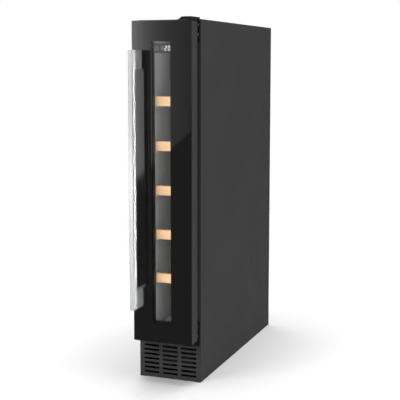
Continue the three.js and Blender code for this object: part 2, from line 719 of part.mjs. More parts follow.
function evaporator() {
  const half = cellarHalf - COIL_SIDE_GAP;
  const middle = (coverBack + cellarRear) / 2;
  const low = STEP_TOP + EVAPORATOR_LIFT;
  const depths = [middle - EVAPORATOR_DEPTH / 2, middle + EVAPORATOR_DEPTH / 2];
  const heights = [low, low + EVAPORATOR_HEIGHT];
  const counts = [EVAPORATOR_FINS, EVAPORATOR_PASSES];
  return finnedCoil("evaporator", [-half, half], depths, heights, counts);
}

function cellarLight() {
  const half = LIGHT_WIDTH / 2;
  const top = cellarTop - FIT;
  const outline = rectangle([-half, half], [top - LIGHT_HEIGHT, top], MOULDED_CORNER);
  const lens = sweep("y", outline, LIGHT_SETBACK, LIGHT_SETBACK + LIGHT_DEPTH);
  return piece("cellar_light", FINISH.lens, lens);
}

function temperatureProbe() {
  const geometry = new THREE.CapsuleGeometry(PROBE_RADIUS, PROBE_LENGTH, ARC_STEPS, ROUND_SIDES / 2);
  geometry.rotateX(Math.PI / 2);
  geometry.translate(cellarHalf / 2, coverFront - PROBE_RADIUS - FIT, cellarTop - PROBE_DROP);
  return piece("temperature_probe", FINISH.greyPlastic, solidOf(geometry));
}

// ---------------------------------------------------------------- machine bay
const bayFanSize = bayCeiling - panTop - 2 * BAY_CLEARANCE;
const bayFanZ = (bayCeiling + panTop) / 2;

function condenser() {
  const half = insideWidth - SHEET - CONDENSER_MARGIN;
  const depths = [CONDENSER_SETBACK, CONDENSER_SETBACK + CONDENSER_DEPTH];
  const heights = [panTop + BAY_CLEARANCE, bayCeiling - BAY_CLEARANCE];
  const counts = [CONDENSER_FINS, CONDENSER_PASSES];
  return finnedCoil("condenser", [-half, half], depths, heights, counts);
}

function controlBox() {
  const half = CONTROL_WIDTH / 2;
  const heights = [panTop + FIT, panTop + FIT + CONTROL_HEIGHT];
  const outline = rectangle([-half, half], heights, MOULDED_CORNER);
  const box = sweep("y", outline, CONTROL_SETBACK, CONTROL_SETBACK + CONTROL_LENGTH);
  return piece("control_box", FINISH.greyPlastic, box);
}

const compressorY = (bulkheadY + backY) / 2;
const plateZ = panTop + COMPRESSOR_LIFT;

// Domed steel can on a mounting plate with four rubber mounts.
function compressor() {
  const arc = (centre, from, to) =>
    Array.from({ length: ARC_STEPS + 1 }, (_, index) => {
      const angle = from + ((to - from) * index) / ARC_STEPS;
      return [COMPRESSOR_RADIUS * Math.cos(angle), centre + COMPRESSOR_DOME * Math.sin(angle)];
    });
  const profile = [
    ...arc(COMPRESSOR_DOME, -Math.PI / 2, 0),
    ...arc(COMPRESSOR_HEIGHT - COMPRESSOR_DOME, 0, Math.PI / 2),
  ];
  profile[0][0] = 0;
  profile[profile.length - 1][0] = 0;
  const can = turned("z", profile, [0, compressorY, plateZ]);
  const halfX = COMPRESSOR_PLATE_X / 2;
  const halfY = COMPRESSOR_PLATE_Y / 2;
  const thick = [plateZ, plateZ + COMPRESSOR_PLATE_THICKNESS];
  const plate = block([-halfX, halfX], [compressorY - halfY, compressorY + halfY], thick);
  const mounts = [-1, 1].flatMap((sideX) =>
    [-1, 1].map((sideY) => {
      const centre = [
        sideX * (halfX - MOUNT_INSET),
        compressorY + sideY * (halfY - MOUNT_INSET),
      ];
      return rod("z", centre, MOUNT_RADIUS, panTop + FIT, plateZ + WELD, ROUND_SIDES / 2);
    }),
  );
  return piece("compressor", FINISH.blackPaint, join([can, plate, ...mounts]));
}

function startRelay() {
  const half = RELAY_WIDTH / 2;
  const rear = compressorY - COMPRESSOR_RADIUS - FIT;
  const low = plateZ + RELAY_LIFT;
  const outline = rectangle([-half, half], [low, low + RELAY_HEIGHT], MOULDED_CORNER);
  return piece("start_relay", FINISH.blackPlastic, sweep("y", outline, rear - RELAY_DEPTH, rear));
}

// Open tray on the compressor, where its warmth dries the cellar's condensate.
function dripTray() {
  const half = halfWidth - TRAY_MARGIN;
  const low = plateZ + COMPRESSOR_HEIGHT + FIT;
  const depths = [compressorY - TRAY_LENGTH / 2, compressorY + TRAY_LENGTH / 2];
  const wall = TRAY_WALL;
  const well = block(
    [wall - half, half - wall], [depths[0] + wall, depths[1] - wall],
    [low + wall, low + TRAY_HEIGHT + PAST],
  );
  const tray = cut(block([-half, half], depths, [low, low + TRAY_HEIGHT]), [well]);
  return piece("drip_tray", FINISH.greyPlastic, tray);
}

// ---------------------------------------------------------------- door
const paneHalf = doorHalf - FRAME_STILE + GLAZING_LIP;
const paneLow = DOOR_BOTTOM + FRAME_RAIL - GLAZING_LIP;
const paneHigh = doorTop - FRAME_RAIL + GLAZING_LIP;
const postHeights = {
  lower: handleZ - HANDLE_LENGTH / 2 + POST_HEIGHT / 2,
  upper: handleZ + HANDLE_LENGTH / 2 - POST_HEIGHT / 2,
};

function handleScrewHoles(rear) {
  return Object.values(postHeights).map((z) =>
    rod("y", [handleX, z], HANDLE_SCREW + FIT, postBack - HANDLE_SCREW_BITE - FIT, rear, ROUND_SIDES / 2),
  );
}

function outerGlass() {
  const outline = rectangle([-doorHalf, doorHalf], [DOOR_BOTTOM, doorTop], GLASS_CORNER);
  const pane = cut(sweep("y", outline, doorFront, glassBack), handleScrewHoles(glassBack + PAST));
  return piece("outer_glass", FINISH.blackGlass, pane);
}

// Moulded frame with a rebate for the inner pane, bush pockets and counterbored screw holes.
function doorFrame() {
  const half = doorHalf - FRAME_INSET;
  const outline = rectangle(
    [-half, half], [DOOR_BOTTOM + FRAME_INSET, doorTop - FRAME_INSET], GLASS_CORNER,
  );
  const openHalf = doorHalf - FRAME_STILE;
  const opening = rectangle([-openHalf, openHalf], [DOOR_BOTTOM + FRAME_RAIL, doorTop - FRAME_RAIL]);
  const ring = sweep("y", withHoles(outline, [opening]), frameFront, doorBack);
  const rebate = block([-paneHalf, paneHalf], [frameFront - PAST, innerPaneBack + FIT], [paneLow, paneHigh]);
  const counterbores = Object.values(postHeights).map((z) =>
    rod(
      "y", [handleX, z], HANDLE_SCREW_HEAD + FIT,
      doorBack - HANDLE_SCREW_HEAD_HEIGHT - FIT, doorBack + PAST,
    ),
  );
  const pockets = [
    [DOOR_BOTTOM - PAST, DOOR_BOTTOM + PIN_BITE + FIT],
    [doorTop - PIN_BITE - FIT, doorTop + PAST],
  ].map(([low, high]) => rod("z", [hingeX, hingeY], BUSH_RADIUS + FIT, low, high));
  const holes = [rebate, ...handleScrewHoles(doorBack + PAST), ...counterbores, ...pockets];
  return piece("door_frame", FINISH.blackPlastic, cut(ring, holes));
}

function glassSpacer() {
  const half = paneHalf - FIT;
  const outline = rectangle([-half, half], [paneLow + FIT, paneHigh - FIT]);
  const inner = rectangle(
    [SPACER_WIDTH - half, half - SPACER_WIDTH],
    [paneLow + FIT + SPACER_WIDTH, paneHigh - FIT - SPACER_WIDTH],
  );
  const bar = sweep("y", withHoles(outline, [inner]), frameFront, innerPaneBack - GLASS - FIT);
  return piece("glass_spacer", FINISH.aluminium, bar);
}

function innerGlass() {
  const half = paneHalf - FIT;
  const outline = rectangle([-half, half], [paneLow + FIT, paneHigh - FIT], MOULDED_CORNER);
  const pane = sweep("y", outline, innerPaneBack - GLASS, innerPaneBack);
  return piece("inner_glass", FINISH.clearGlass, pane);
}

function doorGasket() {
  const ring = (margin) =>
    rectangle(
      [margin - doorHalf, doorHalf - margin], [DOOR_BOTTOM + margin, doorTop - margin], GASKET_CORNER,
    );
  const outline = withHoles(ring(GASKET_MARGIN), [ring(GASKET_MARGIN + GASKET_WIDTH)]);
  return piece("door_gasket", FINISH.rubber, sweep("y", outline, doorBack + FIT, -FIT));
}

function touchDisplay() {
  const half = DISPLAY_WIDTH / 2;
  const high = doorTop - DISPLAY_DROP;
  const outline = rectangle([-half, half], [high - DISPLAY_HEIGHT, high], MOULDED_CORNER);
  const board = sweep("y", outline, frameFront, frameFront + DISPLAY_DEPTH);
  return piece("touch_display", FINISH.blackPlastic, board);
}

function handleBar() {
  const half = HANDLE_WIDTH / 2;
  const depths = [postFront - FIT - HANDLE_DEPTH, postFront - FIT];
  const outline = rectangle([handleX - half, handleX + half], depths, HANDLE_BEVEL);
  const bar = sweep("z", outline, handleZ - HANDLE_LENGTH / 2, handleZ + HANDLE_LENGTH / 2);
  return piece("handle_bar", FINISH.chrome, bar);
}

function handlePost(end) {
  const half = HANDLE_WIDTH / 2;
  const z = postHeights[end];
  const outline = rectangle([handleX - half, handleX + half], [z - POST_HEIGHT / 2, z + POST_HEIGHT / 2]);
  const post = cut(sweep("y", outline, postFront, postBack), handleScrewHoles(postBack + PAST));
  return piece(`handle_post_${end}`, FINISH.chrome, post);
}

function handleScrew(end) {
  const centre = [handleX, postHeights[end]];
  const seat = doorBack - HANDLE_SCREW_HEAD_HEIGHT;
  const screw = join([
    rod("y", centre, HANDLE_SCREW_HEAD, seat, doorBack - FIT),
    rod("y", centre, HANDLE_SCREW, postBack - HANDLE_SCREW_BITE, seat + WELD, ROUND_SIDES / 2),
  ]);
  return piece(`handle_screw_${end}`, FINISH.zinc, screw);
}

// Flanged nylon bush: top or bottom of the door, open towards its pin.
function pivotBush(end) {
  const [low, high] = end === "upper" ? [doorTop - PIN_BITE, doorTop] : [DOOR_BOTTOM, DOOR_BOTTOM + PIN_BITE];
  const outline = circle(hingeX, hingeY, BUSH_RADIUS);
  const bore = circle(hingeX, hingeY, PIN_RADIUS + PIN_PLAY);
  return piece(`pivot_bush_${end}`, FINISH.greyPlastic, sweep("z", withHoles(outline, [bore]), low, high));
}

// ---------------------------------------------------------------- hinges
const leafBack = -FIT;
const leafFront = leafBack - HINGE_PLATE;
const armX = [doorHalf - CAP_WALL - FIT - ARM_WIDTH, doorHalf - CAP_WALL - FIT];
const leafX = [halfWidth - LEAF_EDGE - LEAF_WIDTH, halfWidth - LEAF_EDGE];
const upperArm = [doorTop + HINGE_PLAY, doorTop + HINGE_PLAY + HINGE_ARM];
const lowerArm = [DOOR_BOTTOM - HINGE_PLAY - HINGE_ARM, DOOR_BOTTOM - HINGE_PLAY];

function screwSeats(heights) {
  return heights.flatMap((z) => [
    rod("y", [leafMiddle, z], HINGE_SCREW + FIT, leafFront - PAST, leafBack + PAST, ROUND_SIDES / 2),
    countersink(z, FIT),
  ]);
}

// Cone of a countersunk head, flush with the leaf's face, grown by a clearance.
function countersink(z, clearance) {
  const depth = HINGE_SCREW_HEAD - HINGE_SCREW;
  const profile = [
    [0, -clearance],
    [HINGE_SCREW_HEAD + clearance, -clearance],
    [HINGE_SCREW_HEAD + clearance, 0],
    [HINGE_SCREW + clearance, depth],
    [0, depth],
  ];
  return turned("y", profile, [leafMiddle, leafFront, z], ROUND_SIDES / 2);
}

function hingeArm([low, high], leafOutline, screwHeights, extras) {
  const leaf = sweep("y", leafOutline, leafFront, leafBack);
  const arm = block(armX, [doorFront + ARM_INSET, leafFront + WELD], [low, high]);
  const pinHole = rod("z", [hingeX, hingeY], PIN_RADIUS + FIT, low - PAST, high + PAST);
  return cut(join([leaf, arm, ...extras]), [pinHole, ...screwSeats(screwHeights)]);
}

function upperHinge() {
  const shoulder = doorTop - LEAF_SHOULDER;
  const outline = polygon([
    [leafX[0], doorTop - LEAF_LENGTH],
    [leafX[1], doorTop - LEAF_LENGTH],
    [leafX[1], doorTop - HINGE_PLAY],
    [armX[1], doorTop - HINGE_PLAY],
    [armX[1], upperArm[1]],
    [armX[0], upperArm[1]],
    [armX[0], shoulder],
    [leafX[0], shoulder],
  ]);
  const hinge = hingeArm(upperArm, outline, hingeScrewHeights().slice(2), []);
  return piece("hinge_upper", FINISH.blackPaint, hinge);
}

function lowerHinge() {
  const shoulder = DOOR_BOTTOM + LEAF_SHOULDER;
  const foot = lowerArm[0] - LEAF_SHOULDER;
  const footInner = Math.min(armX[0], railHalf - RAIL_LAP);
  const outline = polygon([
    [footInner, foot],
    [leafX[1], foot],
    [leafX[1], DOOR_BOTTOM + LEAF_LENGTH],
    [leafX[0], DOOR_BOTTOM + LEAF_LENGTH],
    [leafX[0], shoulder],
    [footInner, shoulder],
  ]);
  const ribOutline = polygon([
    [leafFront - RIB_REACH, lowerArm[0] + WELD],
    [leafFront + WELD, foot],
    [leafFront + WELD, lowerArm[0] + WELD],
  ]);
  const rib = sweep("x", ribOutline, armX[1] - RIB_WIDTH, armX[1]);
  const hinge = hingeArm(lowerArm, outline, hingeScrewHeights().slice(0, 2), [rib]);
  return piece("hinge_lower", FINISH.blackPaint, hinge);
}

// Headed pin through the arm and into the door's bush.
function hingePin(end) {
  const centre = [hingeX, hingeY];
  const upper = end === "upper";
  const [low, high] = upper
    ? [doorTop - PIN_BITE + FIT, upperArm[1] + FIT + WELD]
    : [lowerArm[0] - FIT - WELD, DOOR_BOTTOM + PIN_BITE - FIT];
  const headLow = upper ? upperArm[1] + FIT : lowerArm[0] - FIT - PIN_HEAD_HEIGHT;
  const pin = join([
    rod("z", centre, PIN_RADIUS, low, high),
    rod("z", centre, PIN_HEAD, headLow, headLow + PIN_HEAD_HEIGHT),
  ]);
  return piece(`hinge_pin_${end}`, FINISH.zinc, pin);
}

function hingeScrew(z, index) {
  const depth = HINGE_SCREW_HEAD - HINGE_SCREW;
  const profile = [
    [0, 0],
    [HINGE_SCREW_HEAD, 0],
    [HINGE_SCREW, depth],
    [HINGE_SCREW, HINGE_SCREW_LENGTH - leafFront - FIT],
    [0, HINGE_SCREW_LENGTH - leafFront - FIT],
  ];
  const screw = turned("y", profile, [leafMiddle, leafFront, z], ROUND_SIDES / 2);
  return piece(`hinge_screw_${index + 1}`, FINISH.zinc, screw);
}

// Moulded cover over the upper arm: its inner end ramps down to the door's top in an S-curve.
function hingeCap() {
  const right = doorHalf;
  const left = right - CAP_WIDTH;
  const low = doorTop + FIT;
  const high = CABINET_HEIGHT + CAP_RISE;
  const outline = new THREE.Shape();
  outline.moveTo(left, low);
  outline.lineTo(right, low);
  outline.lineTo(right, high);
  outline.lineTo(left + CAP_RAMP, high);
  const bend = left + CAP_RAMP / 2;
  outline.bezierCurveTo(bend, high, bend, low + CAP_TOE, left, low + CAP_TOE);
  const shell = sweep("y", outline, doorFront, CAP_OVERHANG);
  const overCabinet = block(
    [left - PAST, right + PAST], [-FIT - HINGE_PLATE - 2 * FIT, CAP_OVERHANG + PAST],
    [low - PAST, CABINET_HEIGHT + FIT],
  );
  const pocket = block(
    [armX[0] - FIT, armX[1] + FIT], [doorFront + ARM_INSET - FIT, -FIT],
    [low - PAST, upperArm[1] + FIT],
  );
  const headTop = upperArm[1] + PIN_HEAD_HEIGHT + 2 * FIT;
  const headRoom = rod("z", [hingeX, hingeY], PIN_HEAD + FIT, upperArm[1], headTop);
  return piece("hinge_cap", FINISH.blackPlastic, cut(shell, [overCabinet, pocket, headRoom]));
}

// ---------------------------------------------------------------- assembly
const bayFanPlace = [0, BAY_FAN_SETBACK, bayFanZ];
const cellarFanPlace = [0, coverBack + FIT, cellarFanZ];

const cabinet = groupOf([
  casing(),
  frontRail(),
  rearPanel(),
  rearGrille(),
  mainsGland(),
  basePan(),
  plinthGrille(),
  insulation(),
  bulkhead(),
  cellarLiner(),
  evaporatorCover(),
  evaporator(),
  fanFrame("cellar_fan_frame", cellarFanSize, cellarFanPlace),
  fanRotor("cellar_fan_rotor", cellarFanSize, cellarFanPlace),
  cellarLight(),
  temperatureProbe(),
  floorRack(),
  ...shelfHeights.map(shelfRack),
  ...shelfHeights.map(shelfFascia),
]);

const machinery = groupOf([
  condenser(),
  fanFrame("bay_fan_frame", bayFanSize, bayFanPlace),
  fanRotor("bay_fan_rotor", bayFanSize, bayFanPlace),
  controlBox(),
  compressor(),
  startRelay(),
  dripTray(),
  ...footPlaces.map(levellingFoot),
]);

const hinges = groupOf([
  upperHinge(),
  lowerHinge(),
  hingePin("upper"),
  hingePin("lower"),
  ...hingeScrewHeights().map(hingeScrew),
  hingeCap(),
]);

const door = groupOf([
  outerGlass(),
  doorFrame(),
  glassSpacer(),
  innerGlass(),
  doorGasket(),
  touchDisplay(),
  handleBar(),
  ...["upper", "lower"].flatMap((end) => [handlePost(end), handleScrew(end), pivotBush(end)]),
]);

// The origin is on the floor, under the middle of the cooler with its handle.
const wineCooler = groupOf([cabinet, machinery, hinges, door]);
const handleFront = postFront - FIT - HANDLE_DEPTH;
wineCooler.position.y = -(handleFront + CABINET_DEPTH) / 2;

export default wineCooler;
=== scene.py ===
"""Looks of a slim built-in wine cooler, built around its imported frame.

Lengths are metres in the frame's own axes: X to the right, Y from the door to the back, Z up.
Each sub-assembly is a class that holds its sizes, builds its surfaces and gives them their
finishes. Places come from the frame's boxes, so a piece goes where its part is.
"""

import json
import logging
import math
from dataclasses import dataclass
from enum import Enum
from typing import Any, Sequence

import bmesh
import bpy
import numpy as np
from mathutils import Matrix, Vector

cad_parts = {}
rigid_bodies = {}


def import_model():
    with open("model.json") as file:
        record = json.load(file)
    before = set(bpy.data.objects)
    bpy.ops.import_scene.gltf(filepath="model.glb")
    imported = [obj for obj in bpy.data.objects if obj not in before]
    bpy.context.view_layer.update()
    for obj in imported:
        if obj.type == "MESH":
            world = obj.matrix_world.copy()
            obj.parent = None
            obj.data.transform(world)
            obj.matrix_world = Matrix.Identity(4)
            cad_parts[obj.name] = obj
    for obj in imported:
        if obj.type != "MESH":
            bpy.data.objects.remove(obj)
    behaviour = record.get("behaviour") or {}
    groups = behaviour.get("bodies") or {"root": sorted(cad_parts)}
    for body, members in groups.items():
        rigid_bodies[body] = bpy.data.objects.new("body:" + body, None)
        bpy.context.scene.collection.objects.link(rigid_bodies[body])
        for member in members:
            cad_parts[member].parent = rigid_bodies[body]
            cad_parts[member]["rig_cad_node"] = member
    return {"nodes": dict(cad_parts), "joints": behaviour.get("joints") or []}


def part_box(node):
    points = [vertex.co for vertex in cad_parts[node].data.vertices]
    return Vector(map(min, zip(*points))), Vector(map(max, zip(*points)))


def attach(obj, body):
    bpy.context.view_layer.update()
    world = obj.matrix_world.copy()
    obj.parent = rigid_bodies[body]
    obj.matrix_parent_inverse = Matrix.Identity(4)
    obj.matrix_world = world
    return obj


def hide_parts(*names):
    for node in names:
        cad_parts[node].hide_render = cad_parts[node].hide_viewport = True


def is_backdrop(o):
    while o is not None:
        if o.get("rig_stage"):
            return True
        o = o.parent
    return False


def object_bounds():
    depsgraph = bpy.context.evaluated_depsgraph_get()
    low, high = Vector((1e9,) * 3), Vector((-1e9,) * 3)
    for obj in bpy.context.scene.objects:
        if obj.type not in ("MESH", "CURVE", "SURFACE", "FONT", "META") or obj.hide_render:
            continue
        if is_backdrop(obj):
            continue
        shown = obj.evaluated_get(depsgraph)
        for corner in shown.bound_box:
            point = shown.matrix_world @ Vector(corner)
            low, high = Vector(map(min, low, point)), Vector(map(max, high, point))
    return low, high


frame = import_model()
CAD_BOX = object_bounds()

LOG = logging.getLogger("wine_cooler")
Colour = tuple[float, float, float]
Span = tuple[float, float]

MERGE = 1e-6  # points closer than this are one
ASLANT = (0.3, 0.5, 0.8)  # a direction that no wire runs in, to find one across it
SMOOTH_ANGLE = math.radians(32)  # edges flatter than this are shaded smooth
FLAT_ANGLE = math.radians(1)  # faces that meet at less than this are one flat
ARC = 6  # steps in a quarter round
TIP_RINGS = 3  # rings in the domed end of a wire
LIP_RINGS = 4  # rings in the rounded lip of a hole
LEAST_CORNER = 0.2  # share of its corner radius that a shrinking outline keeps at least
HOLE_STEPS = (6, 8)  # steps along the top and along an end of a hole


class Axis(Enum):
    """The direction that a shape runs along, as the order in which its three numbers are stored."""

    X = (2, 0, 1)
    Y = (0, 2, 1)
    Z = (0, 1, 2)

    def lay(self, flat: np.ndarray, along: np.ndarray) -> np.ndarray:
        """Puts a flat outline and its place along the axis together.

        Args:
            flat: (..., 2) points across the axis: Y and Z for X, X and Z for Y, X and Y for Z.
            along: (...) places along the axis.

        Returns:
            (..., 3) points in the frame.
        """
        stacked = np.concatenate([flat, np.broadcast_to(along[..., None], flat.shape[:-1] + (1,))], axis=-1)
        return stacked[..., list(self.value)]


# ---------------------------------------------------------------- surfaces
def rounded_outline(
    low: Sequence[float], high: Sequence[float], corner: float
) -> tuple[np.ndarray, np.ndarray]:
    """A rectangle with round corners: centre of each corner plus its radius times (cos t, sin t).

    Args:
        low: lowest corner of the rectangle.
        high: highest corner.
        corner: radius of its corners.

    Returns:
        (m, 2) points, anticlockwise, and (m, 2) outward directions at them.
    """
    turns = np.linspace(0, math.pi / 2, ARC + 1) + np.array([0, 1, 2, 3])[:, None] * math.pi / 2
    outward = np.stack([np.cos(turns), np.sin(turns)], axis=-1).reshape(-1, 2)
    x0, y0 = low[0] + corner, low[1] + corner
    x1, y1 = high[0] - corner, high[1] - corner
    centres = np.array([(x1, y1), (x0, y1), (x0, y0), (x1, y0)]).repeat(ARC + 1, axis=0)
    return centres + corner * outward, outward


def quads(rows: int, columns: int, wrap_rows: bool = False) -> np.ndarray:
    """Faces of a grid whose columns close on themselves: point (i, j) is number i * columns + j.

    Args:
        rows: number of rings.
        columns: points in a ring.
        wrap_rows: True if the last ring joins the first.

    Returns:
        (faces, 4) point numbers.
    """
    i, j = np.meshgrid(np.arange(rows if wrap_rows else rows - 1), np.arange(columns), indexing="ij")
    after, beside = (i + 1) % rows, (j + 1) % columns
    corners = [i * columns + j, i * columns + beside, after * columns + beside, after * columns + j]
    return np.stack(corners, axis=-1).reshape(-1, 4)


def solid(name: str, points: np.ndarray, faces: Sequence[Sequence[int]]) -> bpy.types.Object:
    """A closed mesh object at the origin, with its doubles merged and its faces turned outwards.

    Args:
        name: the piece's name.
        points: (n, 3) places in the frame.
        faces: point numbers of each face.

    Returns:
        The object, linked to the scene.
    """
    mesh = bpy.data.meshes.new(name)
    mesh.from_pydata(points.reshape(-1, 3).tolist(), [], [list(map(int, face)) for face in faces])
    shell = bmesh.new()
    shell.from_mesh(mesh)
    bmesh.ops.remove_doubles(shell, verts=shell.verts, dist=MERGE)
    bmesh.ops.recalc_face_normals(shell, faces=shell.faces)
    shell.to_mesh(mesh)
    shell.free()
    return evened(placed(name, mesh))


def placed(name: str, mesh: bpy.types.Mesh) -> bpy.types.Object:
    """Shades a mesh smooth up to SMOOTH_ANGLE and links an object for it.

    Args:
        name: the piece's name.
        mesh: its mesh, in place.

    Returns:
        The new object.
    """
    mesh.polygons.foreach_set("use_smooth", np.ones(len(mesh.polygons), dtype=bool))
    mesh.set_sharp_from_angle(angle=SMOOTH_ANGLE)
    made = bpy.data.objects.new(name, mesh)
    bpy.context.scene.collection.objects.link(made)
    return made


def evened(made: bpy.types.Object) -> bpy.types.Object:
    """Lets broad faces keep their flatness, and the rounding beside them take up the turn of the shading.

    Args:
        made: the piece.

    Returns:
        The same piece, with a live Weighted Normal.
    """
    even = made.modifiers.new("even_shading", "WEIGHTED_NORMAL")
    even.keep_sharp = True
    even.weight = 100
    return made


def loft(name: str, rings: np.ndarray) -> bpy.types.Object:
    """Joins rings of points by quads and shuts both ends with a flat face.

    Args:
        name: the piece's name.
        rings: (n, m, 3) points.

    Returns:
        The closed piece.
    """
    count, around = rings.shape[:2]
    ends = [np.arange(around)[::-1], (count - 1) * around + np.arange(around)]
    return solid(name, rings, [*quads(count, around), *ends])


def fillet_steps(low: float, high: float, edge: float) -> tuple[np.ndarray, np.ndarray]:
    """Places and insets of the rings of a bar with rounded ends: a quarter circle of radius edge.

    Args:
        low: the bar's first end.
        high: its second.
        edge: radius of the rounding.

    Returns:
        Places along the bar, and how far in the outline stands at each.
    """
    turn = np.linspace(0, math.pi / 2, ARC + 1)
    inset = edge * (1 - np.sin(turn))
    rise = edge * (1 - np.cos(turn))
    return np.concatenate([low + rise, high - rise[::-1]]), np.concatenate([inset, inset[::-1]])


def filleted_bar(
    name: str, axis: Axis, low: Sequence[float], high: Sequence[float], ends: Span, corner: float, edge: float
) -> bpy.types.Object:
    """A bar with rounded corners and rounded ends, lofted from rounded rectangles that shrink at its ends.

    Args:
        name: the piece's name.
        axis: the direction that it runs along.
        low: lowest corner across the axis.
        high: highest corner across it.
        ends: where it starts and stops along the axis.
        corner: radius of the long corners.
        edge: radius of the rounding at the ends.

    Returns:
        The closed piece.
    """
    places, insets = fillet_steps(*ends, edge)
    low, high = np.array(low), np.array(high)
    rings = []
    for place, inset in zip(places, insets):
        outline, _ = rounded_outline(low + inset, high - inset, max(corner - inset, corner * LEAST_CORNER))
        rings.append(axis.lay(outline, np.array(place)))
    return loft(name, np.array(rings))


def carried(
    name: str, axis: Axis, low: Sequence[float], high: Sequence[float], corner: float, profile: np.ndarray
) -> bpy.types.Object:
    """A closed profile carried round a rounded rectangle: path point + outward direction * u, at place v.

    Args:
        name: the piece's name.
        axis: the direction that the ring faces.
        low: lowest corner of the path.
        high: highest corner.
        corner: radius of the path's corners.
        profile: (k, 2) closed outline of u, outwards from the path, and v, the place along the axis.

    Returns:
        The closed ring.
    """
    path, outward = rounded_outline(low, high, corner)
    flat = path[:, None] + outward[:, None] * profile[None, :, :1]
    points = axis.lay(flat, np.broadcast_to(profile[:, 1], flat.shape[:2]))
    return solid(name, points, quads(len(path), len(profile), wrap_rows=True))


def tube(name: str, path: np.ndarray, radius: float, sides: int = 16) -> bpy.types.Object:
    """A round wire along a path, with domed ends: path point + r * (cos t * side + sin t * up).

    Args:
        name: the piece's name.
        path: (n, 3) points of its middle line, which lies in one plane.
        radius: the wire's radius.
        sides: points round it.

    Returns:
        The closed wire.
    """
    return solid(name, *wire_surface(path, radius, sides))


def wire_surface(path: np.ndarray, radius: float, sides: int) -> tuple[np.ndarray, list[np.ndarray]]:
    """Points and faces of a domed wire, as tube says.

    Args:
        path: (n, 3) points of its middle line.
        radius: the wire's radius.
        sides: points round it.

    Returns:
        Points, and the faces as lists of point numbers.
    """
    along = np.gradient(path, axis=0)
    along /= np.linalg.norm(along, axis=1, keepdims=True)
    plane = np.cross(path[-1] - path[0], path[len(path) // 2] - path[0])
    bent = np.linalg.norm(plane) > MERGE**2 * 10
    up = plane / np.linalg.norm(plane) if bent else np.cross(along[0], ASLANT)
    up = np.broadcast_to(up / np.linalg.norm(up), path.shape)
    side = np.cross(along, up)
    turn = np.linspace(0, math.pi / 2, TIP_RINGS + 1)[1:]
    tip = radius * (1 - np.sin(turn))
    girth = radius * np.cos(turn)
    starts = path[0] - along[0] * (radius - tip[::-1])[:, None]
    stops = path[-1] + along[-1] * (radius - tip)[:, None]
    middle = np.concatenate([starts, path, stops])
    reach = np.concatenate([girth[::-1], np.full(len(path), radius), girth])
    side, up = (
        np.concatenate([np.repeat(row[:1], TIP_RINGS, 0), row, np.repeat(row[-1:], TIP_RINGS, 0)])
        for row in (side, up)
    )
    around = np.linspace(0, 2 * math.pi, sides, endpoint=False)[None, :, None]
    ring = np.cos(around) * side[:, None] + np.sin(around) * up[:, None]
    points = middle[:, None] + np.maximum(reach, MERGE / 4)[:, None, None] * ring
    return points.reshape(-1, 3), list(quads(len(middle), sides))


def wires(name: str, paths: Sequence[tuple[np.ndarray, float]], sides: int = 12) -> bpy.types.Object:
    """Several wires welded into one piece, each a closed tube that runs into those that it crosses.

    Args:
        name: the piece's name.
        paths: each wire's middle line and radius.
        sides: points round a wire.

    Returns:
        The piece.
    """
    points, faces, start = [], [], 0
    for path, radius in paths:
        some, these = wire_surface(path, radius, sides)
        faces.extend(face + start for face in these)
        points.append(some)
        start += len(some)
    return solid(name, np.concatenate(points), faces)


def turned(
    name: str, axis: Axis, centre: Sequence[float], profile: np.ndarray, sides: int = 48
) -> bpy.types.Object:
    """A body of revolution: centre + radius * (cos t, sin t) across the axis, at each place along it.

    Args:
        name: the piece's name.
        axis: the direction of the line that it turns about.
        centre: where that line stands across the axis.
        profile: (k, 2) radii and places, from axis to axis or closed on itself.
        sides: points round it.

    Returns:
        The closed piece.
    """
    around = np.linspace(0, 2 * math.pi, sides, endpoint=False)
    ring = np.stack([np.cos(around), np.sin(around)], axis=-1)
    flat = np.array(centre) + profile[:, None, :1] * ring
    points = axis.lay(flat, np.broadcast_to(profile[:, 1:], flat.shape[:2]))
    return solid(name, points, quads(len(profile), sides))


def slot_outline(centre: Sequence[float], length: float, height: float, sides: Sequence[int]) -> np.ndarray:
    """A hole's outline in four runs, top, left, bottom and right: two straight lines and two half rounds.

    Args:
        centre: the hole's middle.
        length: from end to end. Equal to height, the hole is round and each run is a quarter of it.
        height: across the straight lines.
        sides: number of steps along the top and along an end.

    Returns:
        (2 * sum(sides), 2) points, anticlockwise from the upper right.
    """
    radius, straight = height / 2, (length - height) / 2
    across, down = sides
    if straight < MERGE:
        starts = np.array([1, 3, 5, 7]) * math.pi / 4
        counts = (across, down) * 2
        runs = [np.linspace(0, math.pi / 2, count, endpoint=False) for count in counts]
        turn = np.concatenate([start + run for start, run in zip(starts, runs)])
        return np.array(centre) + radius * np.stack([np.cos(turn), np.sin(turn)], axis=-1)
    line = np.linspace(straight, -straight, across, endpoint=False)
    turn = math.pi / 2 + np.linspace(0, math.pi, down, endpoint=False)
    top = np.stack([line, np.full(across, radius)], axis=-1)
    left = np.stack([-straight + radius * np.cos(turn), radius * np.sin(turn)], axis=-1)
    return np.array(centre) + np.concatenate([top, left, -top, -left])


def cell_outline(low: Sequence[float], high: Sequence[float], sides: Sequence[int]) -> np.ndarray:
    """A rectangle's outline with as many points on each side as slot_outline gives each run.

    Args:
        low: lowest corner.
        high: highest corner.
        sides: number of steps along the top and along an end.

    Returns:
        (2 * sum(sides), 2) points, anticlockwise from the upper right.
    """
    corners = np.array([(high[0], high[1]), (low[0], high[1]), (low[0], low[1]), (high[0], low[1])])
    runs = [
        start + (stop - start) * np.linspace(0, 1, count, endpoint=False)[:, None]
        for start, stop, count in zip(corners, np.roll(corners, -1, axis=0), (*sides, *sides))
    ]
    return np.concatenate(runs)


@dataclass(frozen=True)
class Hole:
    """One hole of a pierced plate: its middle, its length and its height."""

    centre: tuple[float, float]
    length: float
    height: float


